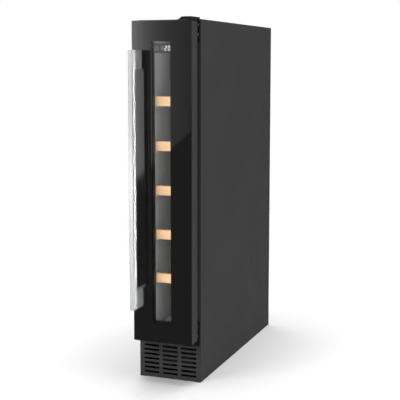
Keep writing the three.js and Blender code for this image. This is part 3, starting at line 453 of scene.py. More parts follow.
def pierced_plate(
    name: str,
    columns: np.ndarray,
    rows: np.ndarray,
    holes: dict[tuple[int, int], Hole],
    depths: Span,
    edge: float,
) -> bpy.types.Object:
    """A flat plate, facing along Y, made of cells that each bend round one hole with rounded lips.

    Every cell is a ring of quads from its rectangle to its hole. The rings go from the front
    rectangle to the front lip, a quarter circle of radius edge, through the wall and back.

    Args:
        name: the piece's name.
        columns: X of the lines between cells.
        rows: Z of the lines between cells.
        holes: the hole of each (column, row) cell.
        depths: Y of the plate's front and back.
        edge: radius of the lips.

    Returns:
        The closed plate.
    """
    sides = HOLE_STEPS
    around = 2 * sum(sides)
    turn = np.linspace(0, math.pi / 2, LIP_RINGS)
    grow = edge * (1 - np.sin(turn))
    sink = edge * (1 - np.cos(turn))
    lips = np.concatenate([depths[0] + sink, depths[1] - sink[::-1]])
    grows = np.concatenate([grow, grow[::-1]])
    points, faces, start = [], [], 0
    for (column, row), hole in holes.items():
        cell = cell_outline((columns[column], rows[row]), (columns[column + 1], rows[row + 1]), sides)
        rims = [
            slot_outline(hole.centre, hole.length + 2 * more, hole.height + 2 * more, sides) for more in grows
        ]
        flat = np.array([cell, *rims, cell])
        along = np.array([depths[0], *lips, depths[1]])
        rings = Axis.Y.lay(flat, np.broadcast_to(along[:, None], flat.shape[:2]))
        faces.extend(quads(len(rings), around) + start)
        points.append(rings.reshape(-1, 3))
        start += rings.shape[0] * around
    border = cell_border(columns, rows, sides)
    along = np.broadcast_to(np.array(depths)[:, None], (2, len(border)))
    wall = Axis.Y.lay(np.array([border, border]), along)
    faces.extend(quads(2, len(border)) + start)
    points.append(wall.reshape(-1, 3))
    return solid(name, np.concatenate(points), faces)


def cell_border(columns: np.ndarray, rows: np.ndarray, sides: Sequence[int]) -> np.ndarray:
    """The whole plate's outline, with the points that its border cells have there.

    Args:
        columns: X of the lines between cells.
        rows: Z of the lines between cells.
        sides: number of steps along a cell's top and along its end.

    Returns:
        (n, 2) points, anticlockwise from the upper right.
    """

    def divided(lines: np.ndarray, count: int) -> np.ndarray:
        """Each stretch between lines in count steps, without the last point."""
        steps = np.linspace(0, 1, count, endpoint=False)
        return (lines[:-1, None] + np.diff(lines)[:, None] * steps).ravel()

    across, down = divided(columns[::-1], sides[0]), divided(rows[::-1], sides[1])
    back, up = divided(columns, sides[0]), divided(rows, sides[1])
    return np.concatenate([
        np.stack([across, np.full(len(across), rows[-1])], axis=-1),
        np.stack([np.full(len(down), columns[0]), down], axis=-1),
        np.stack([back, np.full(len(back), rows[0])], axis=-1),
        np.stack([np.full(len(up), columns[-1]), up], axis=-1),
    ])


def softened(node: str, name: str, width: float, segments: int = 2) -> bpy.types.Object:
    """A copy of a frame node with its edges rounded, for sheet metal and mouldings that keep their shape.

    Args:
        node: the frame's node.
        name: the piece's name.
        width: how far the rounding reaches from each edge.
        segments: steps in the rounding.

    Returns:
        The piece, with a live Bevel.
    """
    mesh = frame["nodes"][node].data.copy()
    mesh.name = name
    shell = bmesh.new()
    shell.from_mesh(mesh)
    bmesh.ops.remove_doubles(shell, verts=shell.verts, dist=MERGE)
    bent = {
        face.index for edge in shell.edges for face in edge.link_faces
        if FLAT_ANGLE < edge.calc_face_angle(0.0) < SMOOTH_ANGLE
    }
    shell.to_mesh(mesh)
    shell.free()
    mesh.materials.clear()
    made = placed(name, mesh)
    mesh.polygons.foreach_set("use_smooth", [index in bent for index in range(len(mesh.polygons))])
    bevel = made.modifiers.new("rounded_edges", "BEVEL")
    bevel.width = width
    bevel.segments = segments
    bevel.limit_method = "ANGLE"
    bevel.angle_limit = SMOOTH_ANGLE
    bevel.miter_outer = "MITER_ARC"
    return evened(made)


# ---------------------------------------------------------------- shaders
class Sock:
    """A node's output, or a plain number, that takes part in shader arithmetic."""

    def __init__(self, shader: "Shader", socket: bpy.types.NodeSocket) -> None:
        """Keeps the shader that the arithmetic adds its nodes to."""
        self.shader, self.socket = shader, socket

    def math(self, operation: str, *others: Any) -> "Sock":
        """Adds a Math node of this value and others."""
        values = dict(enumerate((self, *others)))
        return self.shader.node("ShaderNodeMath", values, operation=operation)

    def __add__(self, other: Any) -> "Sock":
        """Sum."""
        return self.math("ADD", other)

    __radd__ = __add__

    def __mul__(self, other: Any) -> "Sock":
        """Product."""
        return self.math("MULTIPLY", other)

    __rmul__ = __mul__

    def __sub__(self, other: Any) -> "Sock":
        """Difference."""
        return self.math("SUBTRACT", other)

    def __rsub__(self, other: Any) -> "Sock":
        """A number less this value."""
        return self.math("MULTIPLY", -1.0) + other

    def __pow__(self, other: Any) -> "Sock":
        """Power."""
        return self.math("POWER", other)

    def __abs__(self) -> "Sock":
        """Size without sign."""
        return self.math("ABSOLUTE")

    def within(self, middle: float, half: float) -> "Sock":
        """1 where the value is less than half away from middle, and 0 elsewhere."""
        return abs(self - middle).math("LESS_THAN", half)

    def ramp(self, low: float, high: float, start: float = 0.0, stop: float = 1.0) -> "Sock":
        """Goes from start to stop, and no further, as the value goes from low to high."""
        values = {"Value": self, "From Min": low, "From Max": high, "To Min": start, "To Max": stop}
        return self.shader.node("ShaderNodeMapRange", values, clamp=True, interpolation_type="SMOOTHSTEP")


class Shader:
    """A material and the nodes that make it up."""

    def __init__(self, name: str) -> None:
        """Makes an empty material.

        Args:
            name: the material's name.
        """
        self.material = bpy.data.materials.new(name)
        self.material.use_nodes = True
        self.tree = self.material.node_tree
        self.tree.nodes.clear()

    def node(
        self, kind: str, sockets: dict[Any, Any] | None = None, output: Any = None, **settings: Any
    ) -> Sock:
        """Adds any node.

        Args:
            kind: Blender's name of the node.
            sockets: the value or the link of each input, by name or number.
            output: the output to give back, by name or number; the first if it is None.
            **settings: the node's own settings, set before its sockets.

        Returns:
            The output.
        """
        made = self.tree.nodes.new(kind)
        for key, value in settings.items():
            setattr(made, key, value)
        for key, value in (sockets or {}).items():
            if isinstance(value, Sock):
                self.tree.links.new(value.socket, made.inputs[key])
            elif isinstance(value, tuple) and len(value) == 3 and made.inputs[key].type == "RGBA":
                made.inputs[key].default_value = (*value, 1.0)
            else:
                made.inputs[key].default_value = value
        return Sock(self, made.outputs[0 if output is None else output]) if made.outputs else None

    def place(self, stretch: Sequence[float] = (1, 1, 1)) -> Sock:
        """Object coordinates, stretched along each axis."""
        here = self.node("ShaderNodeTexCoord", output="Object")
        return self.node("ShaderNodeMapping", {"Vector": here, "Scale": tuple(stretch)})

    def axes(self, place: Sock) -> list[Sock]:
        """X, Y and Z of a place."""
        return [self.node("ShaderNodeSeparateXYZ", {0: place}, output=index) for index in range(3)]

    def noise(self, place: Sock, scale: float, detail: float = 2.0, roughness: float = 0.5) -> Sock:
        """Cloudy noise from 0 to 1, with features about 1 / scale metres wide."""
        values = {"Vector": place, "Scale": scale, "Detail": detail, "Roughness": roughness}
        return self.node("ShaderNodeTexNoise", values, output="Fac")

    def cells(self, place: Sock, scale: float, output: str = "Distance") -> Sock:
        """Voronoi cells about 1 / scale metres wide."""
        return self.node("ShaderNodeTexVoronoi", {"Vector": place, "Scale": scale}, output=output)

    def mix(self, share: Any, first: Any, second: Any) -> Sock:
        """A colour that goes from first to second as share goes from 0 to 1."""
        values = {0: share, 6: first, 7: second}
        return self.node("ShaderNodeMix", values, output=2, data_type="RGBA")

    def shades(self, colour: Colour, share: Sock, dark: float, light: float) -> Sock:
        """A colour times dark where share is 0, up to the colour times light where it is 1."""
        return self.mix(share, tuple(c * dark for c in colour), tuple(min(c * light, 1.0) for c in colour))

    def bump(self, height: Sock, depth: float) -> Sock:
        """A surface raised by height times depth metres."""
        return self.node("ShaderNodeBump", {"Height": height, "Distance": depth, "Strength": 1.0})

    def skin(self, **values: Any) -> Sock:
        """A Principled shader; a name's underscores stand for the spaces in its socket's name."""
        sockets = {key.replace("_", " "): value for key, value in values.items()}
        return self.node("ShaderNodeBsdfPrincipled", sockets)

    def finish(self, surface: Sock) -> bpy.types.Material:
        """Ends the material with this surface."""
        self.node("ShaderNodeOutputMaterial", {"Surface": surface})
        return self.material


# ---------------------------------------------------------------- finishes
MADE: dict[str, bpy.types.Material] = {}  # the finishes made so far, by name


@dataclass(frozen=True)
class Finish:
    """What every finish has: its name, the record's material slot it stands for, and its colour."""

    name: str
    slot: str
    colour: Colour

    def made(self) -> bpy.types.Material:
        """The finish's material, made once."""
        if self.name not in MADE:
            MADE[self.name] = self.build()
        return MADE[self.name]

    def build(self) -> bpy.types.Material:
        """Makes the material."""
        raise NotImplementedError(self.name)


@dataclass(frozen=True)
class Grained(Finish):
    """Paint or moulded plastic with a fine even grain, slightly uneven in gloss and shade."""

    roughness: float = 0.5
    grain: float = 1500.0
    depth: float = 0.00003
    coat: float = 0.0
    shine: float = 0.3

    def build(self) -> bpy.types.Material:
        """Fine noise for the grain, and slow noise for the gloss and the shade.

        Returns:
            The material.
        """
        shader = Shader(self.name)
        here = shader.place()
        slow = shader.noise(here, 9.0, 3.0)
        fine = shader.noise(here, self.grain, 2.0, 0.6)
        surface = shader.skin(
            Base_Color=shader.shades(self.colour, slow * 0.7 + fine * 0.3, 0.86, 1.14),
            Roughness=slow.ramp(0.3, 0.7, self.roughness - 0.05, self.roughness + 0.06),
            Normal=shader.bump(fine, self.depth),
            Coat_Weight=self.coat,
            Coat_Roughness=0.08,
            Specular_IOR_Level=self.shine,
        )
        return shader.finish(surface)


@dataclass(frozen=True)
class Polished(Finish):
    """Bright steel polished along its length: long fine lines in the gloss and a trace of waviness."""

    roughness: float = 0.12
    along: tuple[float, float, float] = (1.0, 1.0, 0.01)
    lines: float = 4200.0
    metal: float = 1.0

    def build(self) -> bpy.types.Material:
        """Noise stretched along the piece for the polishing lines.

        Returns:
            The material.
        """
        shader = Shader(self.name)
        lines = shader.noise(shader.place(stretch=self.along), self.lines, 3.0, 0.7)
        slow = shader.noise(shader.place(), 14.0, 2.0)
        surface = shader.skin(
            Base_Color=shader.shades(self.colour, lines, 0.96, 1.02),
            Metallic=self.metal,
            Roughness=lines.ramp(0.3, 0.7, self.roughness - 0.01, self.roughness + 0.02) + slow * 0.02,
            Normal=shader.bump(lines, 0.0000002),
        )
        return shader.finish(surface)


@dataclass(frozen=True)
class Galvanised(Finish):
    """Zinc-coated steel: angular spangle that changes shade and gloss from grain to grain."""

    roughness: float = 0.38
    spangle: float = 140.0

    def build(self) -> bpy.types.Material:
        """Voronoi cells for the spangle and noise for the dulling.

        Returns:
            The material.
        """
        shader = Shader(self.name)
        here = shader.place()
        grain = shader.axes(shader.cells(here, self.spangle, output="Color"))[0]
        dull = shader.noise(here, 60.0, 4.0)
        surface = shader.skin(
            Base_Color=shader.shades(self.colour, grain * 0.6 + dull * 0.4, 0.78, 1.1),
            Metallic=1.0,
            Roughness=(grain * 0.5 + dull * 0.5).ramp(0.2, 0.8, self.roughness - 0.08, self.roughness + 0.14),
            Normal=shader.bump(dull, 0.00002),
        )
        return shader.finish(surface)


@dataclass(frozen=True)
class Beech(Finish):
    """Lacquered beech with its grain along X: slow colour bands, fine pores and short dark flecks."""

    flecks: Colour = (0.42, 0.21, 0.09)
    rings: float = 180.0

    def build(self) -> bpy.types.Material:
        """Stretched noise for bands and pores, and stretched cells for the flecks.

        Returns:
            The material.
        """
        shader = Shader(self.name)
        sway = shader.noise(shader.place(stretch=(14.0, 60.0, 60.0)), 1.0, 2.0)
        x, y, z = shader.axes(shader.place())
        bands = ((z + y * 0.6 + sway * 0.006) * self.rings).math("SINE") * 0.5 + 0.5
        pores = shader.noise(shader.place(stretch=(60.0, 1500.0, 1500.0)), 1.0, 2.0, 0.6)
        fleck = shader.cells(shader.place(stretch=(220.0, 900.0, 900.0)), 1.0).ramp(0.10, 0.28, 1.0, 0.0)
        wood = shader.shades(self.colour, bands * 0.45 + pores * 0.55, 0.80, 1.12)
        surface = shader.skin(
            Base_Color=shader.mix(fleck * 0.45, wood, self.flecks),
            Roughness=pores.ramp(0.3, 0.7, 0.42, 0.58),
            Normal=shader.bump(pores - fleck * 0.5, 0.00004),
            Coat_Weight=0.05,
            Coat_Roughness=0.3,
            Specular_IOR_Level=0.25,
        )
        return shader.finish(surface)


@dataclass(frozen=True)
class Rubber(Finish):
    """Soft black rubber: matt, with a bloom of paler patches."""

    def build(self) -> bpy.types.Material:
        """Two noises, for the bloom and the moulded skin.

        Returns:
            The material.
        """
        shader = Shader(self.name)
        here = shader.place()
        bloom = shader.noise(here, 35.0, 4.0)
        skin = shader.noise(here, 2400.0, 2.0)
        surface = shader.skin(
            Base_Color=shader.shades(self.colour, bloom, 0.7, 1.5),
            Roughness=bloom.ramp(0.3, 0.7, 0.62, 0.8),
            Normal=shader.bump(skin, 0.00003),
            Specular_IOR_Level=0.2,
        )
        return shader.finish(surface)


@dataclass(frozen=True)
class Foam(Finish):
    """Sprayed insulation: pale, matt and full of small bubbles."""

    def build(self) -> bpy.types.Material:
        """Voronoi cells for the bubbles.

        Returns:
            The material.
        """
        shader = Shader(self.name)
        here = shader.place()
        bubbles = shader.cells(here, 420.0)
        surface = shader.skin(
            Base_Color=shader.shades(self.colour, bubbles, 0.8, 1.05),
            Roughness=shader.noise(here, 50.0).ramp(0.3, 0.7, 0.85, 0.95),
            Normal=shader.bump(bubbles, 0.0006),
        )
        return shader.finish(surface)


@dataclass(frozen=True)
class Pane(Finish):
    """Thin clear glass: a tint for what is seen through it, and a mirror that grows at a slant."""

    tint: Colour = (0.8, 0.82, 0.82)
    mirror: float = 1.0

    def glass(self, shader: Shader) -> Sock:
        """Clear pane: a Transparent shader mixed with a sharp Glossy one by the Fresnel share.

        Args:
            shader: the material that it is part of.

        Returns:
            The pane's surface.
        """
        slant = shader.node("ShaderNodeFresnel", {"IOR": 1.45})
        smear = shader.noise(shader.place(), 22.0, 3.0)
        through = shader.node("ShaderNodeBsdfTransparent", {"Color": self.tint})
        shine = shader.node("ShaderNodeBsdfGlossy", {"Roughness": smear.ramp(0.35, 0.75, 0.02, 0.06)})
        return shader.node("ShaderNodeMixShader", {0: slant * self.mirror, 1: through, 2: shine})

    def build(self) -> bpy.types.Material:
        """The pane by itself."""
        shader = Shader(self.name)
        return shader.finish(self.glass(shader))


@dataclass(frozen=True)
class PrintedPane(Pane):
    """Glass printed black on its back, with clear windows left in the print."""

    windows: tuple[tuple[float, float, float, float], ...] = ()  # middle X and Z, half width, half height

    def build(self) -> bpy.types.Material:
        """The black print and the clear pane, mixed by a mask of the windows' rectangles.

        Returns:
            The material.
        """
        shader = Shader(self.name)
        x, y, z = shader.axes(shader.place())
        clear = None
        for middle_x, middle_z, half_x, half_z in self.windows:
            one = x.within(middle_x, half_x) * z.within(middle_z, half_z)
            clear = one if clear is None else clear + one
        smear = shader.noise(shader.place(), 18.0, 3.0)
        black = shader.skin(
            Base_Color=shader.shades(self.colour, smear, 0.9, 1.1),
            Roughness=smear.ramp(0.35, 0.75, 0.025, 0.07),
            Normal=shader.bump(smear, 0.000004),
            Specular_IOR_Level=0.95,
        )
        return shader.finish(shader.node("ShaderNodeMixShader", {0: clear, 1: black, 2: self.glass(shader)}))


@dataclass(frozen=True)
class Lit(Finish):
    """A surface that gives light, a little unevenly."""

    strength: float = 1.0
    speckle: float = 300.0

    def build(self) -> bpy.types.Material:
        """Noise for the unevenness of the light.

        Returns:
            The material.
        """
        shader = Shader(self.name)
        patch = shader.noise(shader.place(), self.speckle, 2.0)
        surface = shader.skin(
            Base_Color=shader.shades(self.colour, patch, 0.9, 1.0),
            Roughness=patch.ramp(0.3, 0.7, 0.3, 0.5),
            Emission_Color=shader.shades(self.colour, patch, 0.85, 1.0),
            Emission_Strength=self.strength,
        )
        return shader.finish(surface)


class Look:
    """The cooler's finishes."""

    CASING = Grained(
        "powder_coat", "casing_paint", (0.059, 0.059, 0.0595),
        roughness=0.5, grain=1300.0, depth=0.00004, shine=0.2,
    )
    PLINTH = Grained("plinth_plastic", "black_plastic", (0.055, 0.055, 0.057), roughness=0.5, grain=1700.0)
    FRAME = Grained(
        "door_frame_plastic", "black_plastic", (0.062, 0.062, 0.063),
        roughness=0.6, grain=1900.0, shine=0.2,
    )
    LINER = Grained(
        "liner_plastic", "black_plastic", (0.38, 0.38, 0.38), roughness=0.5, grain=700.0, depth=0.00005
    )
    GLOSS_BLACK = Grained(
        "gloss_black_plastic", "black_plastic", (0.006, 0.006, 0.007),
        roughness=0.13, depth=0.000004, coat=0.4,
    )
    BLACK_PLASTIC = Grained("satin_black_plastic", "black_plastic", (0.02, 0.02, 0.021), roughness=0.45)
    DISPLAY = Grained("display_plastic", "black_plastic", (0.26, 0.26, 0.265), roughness=0.5)
    GREY_PLASTIC = Grained("grey_moulding", "grey_plastic", (0.17, 0.18, 0.19), roughness=0.55)
    ENAMEL = Grained(
        "compressor_enamel", "black_enamel", (0.012, 0.012, 0.013), roughness=0.3, grain=500.0, coat=0.3
    )
    HANDLE = Polished("satin_steel", "chrome_steel", (0.64, 0.64, 0.645), roughness=0.24, metal=0.85)
    WIRE = Polished("chromed_wire", "chrome_steel", (0.82, 0.83, 0.84), roughness=0.1, along=(1.0, 0.05, 1.0))
    ZINC = Galvanised("zinc_plate", "zinc_steel", (0.45, 0.46, 0.47))
    HINGE = Grained(
        "hinge_enamel", "black_enamel", (0.012, 0.012, 0.0125), roughness=0.35, grain=900.0, coat=0.1
    )
    # painted shade: the base pan's zinc is given a near-black colour so that it reads dark behind the
    # plinth's slots
    PAN_DARKENED_AS_SHADE = Galvanised("dulled_zinc", "zinc_steel", (0.06, 0.06, 0.062), roughness=0.55)
    FASTENER = Galvanised("zinc_fastener", "zinc_steel", (0.62, 0.63, 0.64), roughness=0.3, spangle=900.0)
    ALUMINIUM = Polished(
        "drawn_aluminium", "aluminium", (0.78, 0.79, 0.81), roughness=0.3, along=(1.0, 0.05, 1.0)
    )
    BEECH = Beech("lacquered_beech", "beech", (0.735, 0.475, 0.272))
    RUBBER = Rubber("soft_rubber", "gasket_rubber", (0.007, 0.007, 0.0072))
    FOAM = Foam("insulation_foam", "foam", (0.8, 0.73, 0.5))
    LENS = Lit("lit_lens", "light_lens", (0.95, 0.97, 1.0), strength=9.0)
    DIGITS = Lit("lit_digits", "light_lens", (0.9, 0.95, 1.0), strength=1.6)
    ICONS = Lit("dim_icons", "light_lens", (0.75, 0.8, 0.85), strength=0.25)
    INNER_PANE = Pane("clear_pane", "clear_glass", (0.9, 0.92, 0.92), tint=(0.97, 0.975, 0.97), mirror=0.5)


def dress(piece: bpy.types.Object, finish: Finish) -> None:
    """Gives a piece or a frame node its finish.

    Args:
        piece: what to dress.
        finish: how.
    """
    material = finish.made()
    if piece.material_slots:
        for slot in piece.material_slots:
            slot.material = material
    else:
        piece.data.materials.append(material)


def fit(piece: bpy.types.Object, body: str, finish: Finish, *nodes: str) -> bpy.types.Object:
    """Dresses a new piece, makes it ride on its body and puts it in the place of its nodes.

    Args:
        piece: the new piece.
        body: the body that it moves with.
        finish: its finish.
        *nodes: the frame's nodes that it stands for.

    Returns:
        The piece.
    """
    dress(piece, finish)
    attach(piece, body)
    if nodes:
        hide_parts(*nodes)
    LOG.info("%s on %s, for %s", piece.name, body, ", ".join(nodes) or "no node")
    return piece


def keep(finish: Finish, *nodes: str) -> None:
    """Dresses frame nodes that keep their own shape.

    Args:
        finish: their finish.
        *nodes: the nodes.
    """
    for node in nodes:
        dress(frame["nodes"][node], finish)
        LOG.info("%s kept, in %s", node, finish.name)


def corners(node: str) -> tuple[np.ndarray, np.ndarray]:
    """A node's lowest and highest corner as arrays."""
    low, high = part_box(node)
    return np.array(low), np.array(high)


# ---------------------------------------------------------------- cabinet
@dataclass
class Cabinet:
    """The casing, its back plates, the base pan, the plinth and the feet."""

    fold: float = 0.0007  # rounding of a folded sheet's edge
    plinth_edge: float = 0.0006
    slot_size: Span = (0.0375, 0.005)
    slot_pitch: Span = (0.0455, 0.0105)
    slot_first: float = 0.0122
    slot_grid: tuple[int, int] = (3, 7)
    louvre_size: Span = (0.090, 0.006)
    louvre_pitch: float = 0.014
    louvre_first: float = 0.050
    louvres: int = 9
    gland_clearance: float = 0.0003
    gland_lip: float = 0.0008
    gland_radii: tuple[float, float, float] = (4, 7, 11)  # bore, neck and flange, as shares of one another
    foot_disc: float = 0.005  # thickness of a foot's disc
    foot_rim: float = 0.0012
    thread_pitch: float = 0.00125
    thread_depth: float = 0.0005

    def casing(self) -> None:
        """Folded sheets with rounded edges, under grey paint."""
        fit(softened("casing", "casing_sheet", self.fold), "cabinet", Look.CASING, "casing")
        fit(softened("front_rail", "front_rail_sheet", self.fold / 2), "cabinet", Look.CASING, "front_rail")
        fit(softened("rear_panel", "rear_panel_sheet", self.fold / 2), "cabinet", Look.CASING, "rear_panel")
        # the base pan wears the near-black zinc, painted shade that darkens what is seen through the plinth's
        # slots
        fit(softened("base_pan", "base_pan_sheet", self.fold / 2), "cabinet", Look.PAN_DARKENED_AS_SHADE, "base_pan")

    def plinth(self) -> None:
        """The slotted plinth: a moulded plate with a rounded lip at every slot."""
        low, high = corners("plinth_grille")
        count_x, count_z = self.slot_grid
        middles_x = (np.arange(count_x) - (count_x - 1) / 2) * self.slot_pitch[0]
        middles_z = self.slot_first + np.arange(count_z) * self.slot_pitch[1]
        columns = np.array([low[0], *(middles_x[1:] - self.slot_pitch[0] / 2), high[0]])
        rows = np.array([low[2], *(middles_z[1:] - self.slot_pitch[1] / 2), high[2]])
        holes = {
            (column, row): Hole((x, z), *self.slot_size)
            for column, x in enumerate(middles_x)
            for row, z in enumerate(middles_z)
        }
        plate = pierced_plate("plinth_plate", columns, rows, holes, (low[1], high[1]), self.plinth_edge)
        fit(plate, "cabinet", Look.PLINTH, "plinth_grille")

    def back(self) -> None:
        """The louvred back plate with its gland hole, and the turned gland in it."""
        low, high = corners("rear_grille")
        gland_low, gland_high = corners("mains_gland")
        gland = ((gland_low + gland_high) / 2)[[0, 2]]
        middles = self.louvre_first + np.arange(self.louvres) * self.louvre_pitch
        rows = np.array([low[2], *(middles - self.louvre_pitch / 2), high[2]])
        holes = {(0, row + 1): Hole((0.0, z), *self.louvre_size) for row, z in enumerate(middles)}
        neck = self.gland_neck(gland_low, gland_high)
        holes[(0, 0)] = Hole(tuple(gland), 2 * neck, 2 * neck)
        plate = pierced_plate(
            "rear_grille_plate", np.array([low[0], high[0]]), rows, holes, (low[1], high[1]), self.fold / 3
        )
        fit(plate, "cabinet", Look.CASING, "rear_grille")
        bore_share, neck_share, flange_share = self.gland_radii
        flange = (gland_high[0] - gland_low[0]) / 2
        bore, waist = flange * bore_share / flange_share, flange * neck_share / flange_share
        inner, face, outer = gland_low[1], high[1] + self.gland_clearance, gland_high[1]
        lip = self.gland_lip
        profile = np.array([
            (bore + lip, inner), (waist - lip, inner), (waist, inner + lip), (waist, face),
            (flange - lip / 2, face), (flange, face + lip / 2), (flange, outer - lip), (flange - lip, outer),
            (bore + lip, outer), (bore, outer - lip), (bore, inner + lip), (bore + lip, inner),
        ])
        fit(turned("mains_gland_bush", Axis.Y, gland, profile), "cabinet", Look.BLACK_PLASTIC, "mains_gland")

    def gland_neck(self, low: np.ndarray, high: np.ndarray) -> float:
        """Radius of the hole that the gland's neck goes through."""
        _, neck_share, flange_share = self.gland_radii
        return (high[0] - low[0]) / 2 * neck_share / flange_share + self.gland_clearance

    def foot(self, corner: str) -> None:
        """A levelling foot: a disc with a rounded rim and a threaded stud above it.

        Args:
            corner: the corner that it stands at, such as front_left.
        """
        low, high = corners(f"foot_{corner}")
        centre, radius = ((low + high) / 2)[:2], (high[0] - low[0]) / 2
        disc, rim, stud = self.foot_disc, self.foot_rim, radius / 3
        pitch, bite = self.thread_pitch, self.thread_depth
        turns = np.arange(low[2] + disc, high[2] - 2 * pitch, pitch)
        crests = np.repeat(turns, 2) + np.tile([0, pitch / 2], len(turns))
        radii = np.tile([stud - bite, stud], len(turns))
        base = [
            (0, low[2]), (radius - rim, low[2]), (radius, low[2] + rim),
            (radius, low[2] + disc - rim), (radius - rim, low[2] + disc),
        ]
        tip = [(stud - bite, high[2] - pitch), (stud - 2 * bite, high[2]), (0, high[2])]
        profile = np.array([*base, *zip(radii, crests), *tip])
        piece = turned(f"levelling_foot_{corner}_turned", Axis.Z, centre, profile, sides=36)
        fit(piece, f"levelling_foot_{corner}", Look.BLACK_PLASTIC, f"foot_{corner}")

    def build(self) -> None:
        """Builds every piece of the cabinet's outside."""
        self.casing()
        self.plinth()
        self.back()
        for corner in ("front_left", "front_right", "rear_left", "rear_right"):
            self.foot(corner)


# ---------------------------------------------------------------- cellar
@dataclass
class Cellar:
    """The liner, the shelves, the light and the air duct."""

    front_corner: float = 0.004  # upright corners of a wooden front
    front_edge: float = 0.0016
    rail_wire: float = 0.0025
    wire: float = 0.002
    cradle_spread: float = 0.036
    cross_wires: int = 6
    cross_inset: float = 0.012
    liner_edge: float = 0.0006
    cover_edge: float = 0.0004
    lens_corner: float = 0.0012
    lens_edge: float = 0.001
    shelves: int = 5

    def lining(self) -> None:
        """The moulded liner and duct cover, with soft edges."""
        for node, edge in (("cellar_liner", self.liner_edge), ("evaporator_cover", self.cover_edge)):
            fit(softened(node, f"{node}_moulding", edge), "cabinet", Look.LINER, node)
        low, high = corners("cellar_light")
        ends = (low[0], high[0])
        lens = filleted_bar(
            "cellar_light_lens", Axis.X, low[[1, 2]], high[[1, 2]], ends, self.lens_corner, self.lens_edge
        )
        fit(lens, "cabinet", Look.LENS, "cellar_light")
        low, high = corners("temperature_probe")
        (x, y, _), radius = (low + high) / 2, (high[0] - low[0]) / 2
        path = np.linspace((x, y, low[2] + radius), (x, y, high[2] - radius), 5)
        bulb = tube("temperature_probe_bulb", path, radius, 20)
        fit(bulb, "cabinet", Look.GREY_PLASTIC, "temperature_probe")

    def front(self, number: int) -> None:
        """A beech front: a bar with rounded upright corners and eased edges.

        Args:
            number: the shelf's number in the frame.
        """
        node = f"shelf_{number}_front"
        low, high = corners(node)
        ends = (low[2], high[2])
        bar = filleted_bar(
            f"{node}_beech", Axis.Z, low[:2], high[:2], ends, self.front_corner, self.front_edge
        )
        fit(bar, "cabinet", Look.BEECH, node)

    def rack(self, node: str) -> None:
        """A welded wire rack: two rails, two cradle wires and the cross wires under them.

        Args:
            node: the frame's rack.
        """
        low, high = corners(node)
        rails = high[0] - self.rail_wire
        cross_z = low[2] + self.rail_wire
        cradle_z = high[2] - self.wire
        front, rear = low[1] + self.wire, high[1] - self.wire

        def along(x: float, z: float) -> np.ndarray:
            """Middle line of a wire that runs from front to back."""
            return np.linspace((x, front, z), (x, rear, z), 12)

        def across(y: float) -> np.ndarray:
            """Middle line of a wire that runs from rail to rail."""
            return np.linspace((-rails, y, cross_z), (rails, y, cross_z), 8)

        paths = [(along(side * rails, cross_z), self.rail_wire) for side in (-1, 1)]
        paths += [(along(side * self.cradle_spread / 2, cradle_z), self.wire) for side in (-1, 1)]
        places = np.linspace(low[1] + self.cross_inset, high[1] - self.cross_inset, self.cross_wires)
        paths += [(across(y), self.wire) for y in places]
        fit(wires(f"{node}_wires", paths), "cabinet", Look.WIRE, node)

    def build(self) -> None:
        """Builds every piece inside the cellar."""
        self.lining()
        for number in range(1, self.shelves + 1):
            self.front(number)
            self.rack(f"shelf_{number}_rack")
        self.rack("floor_rack")
        keep(Look.FOAM, "insulation")


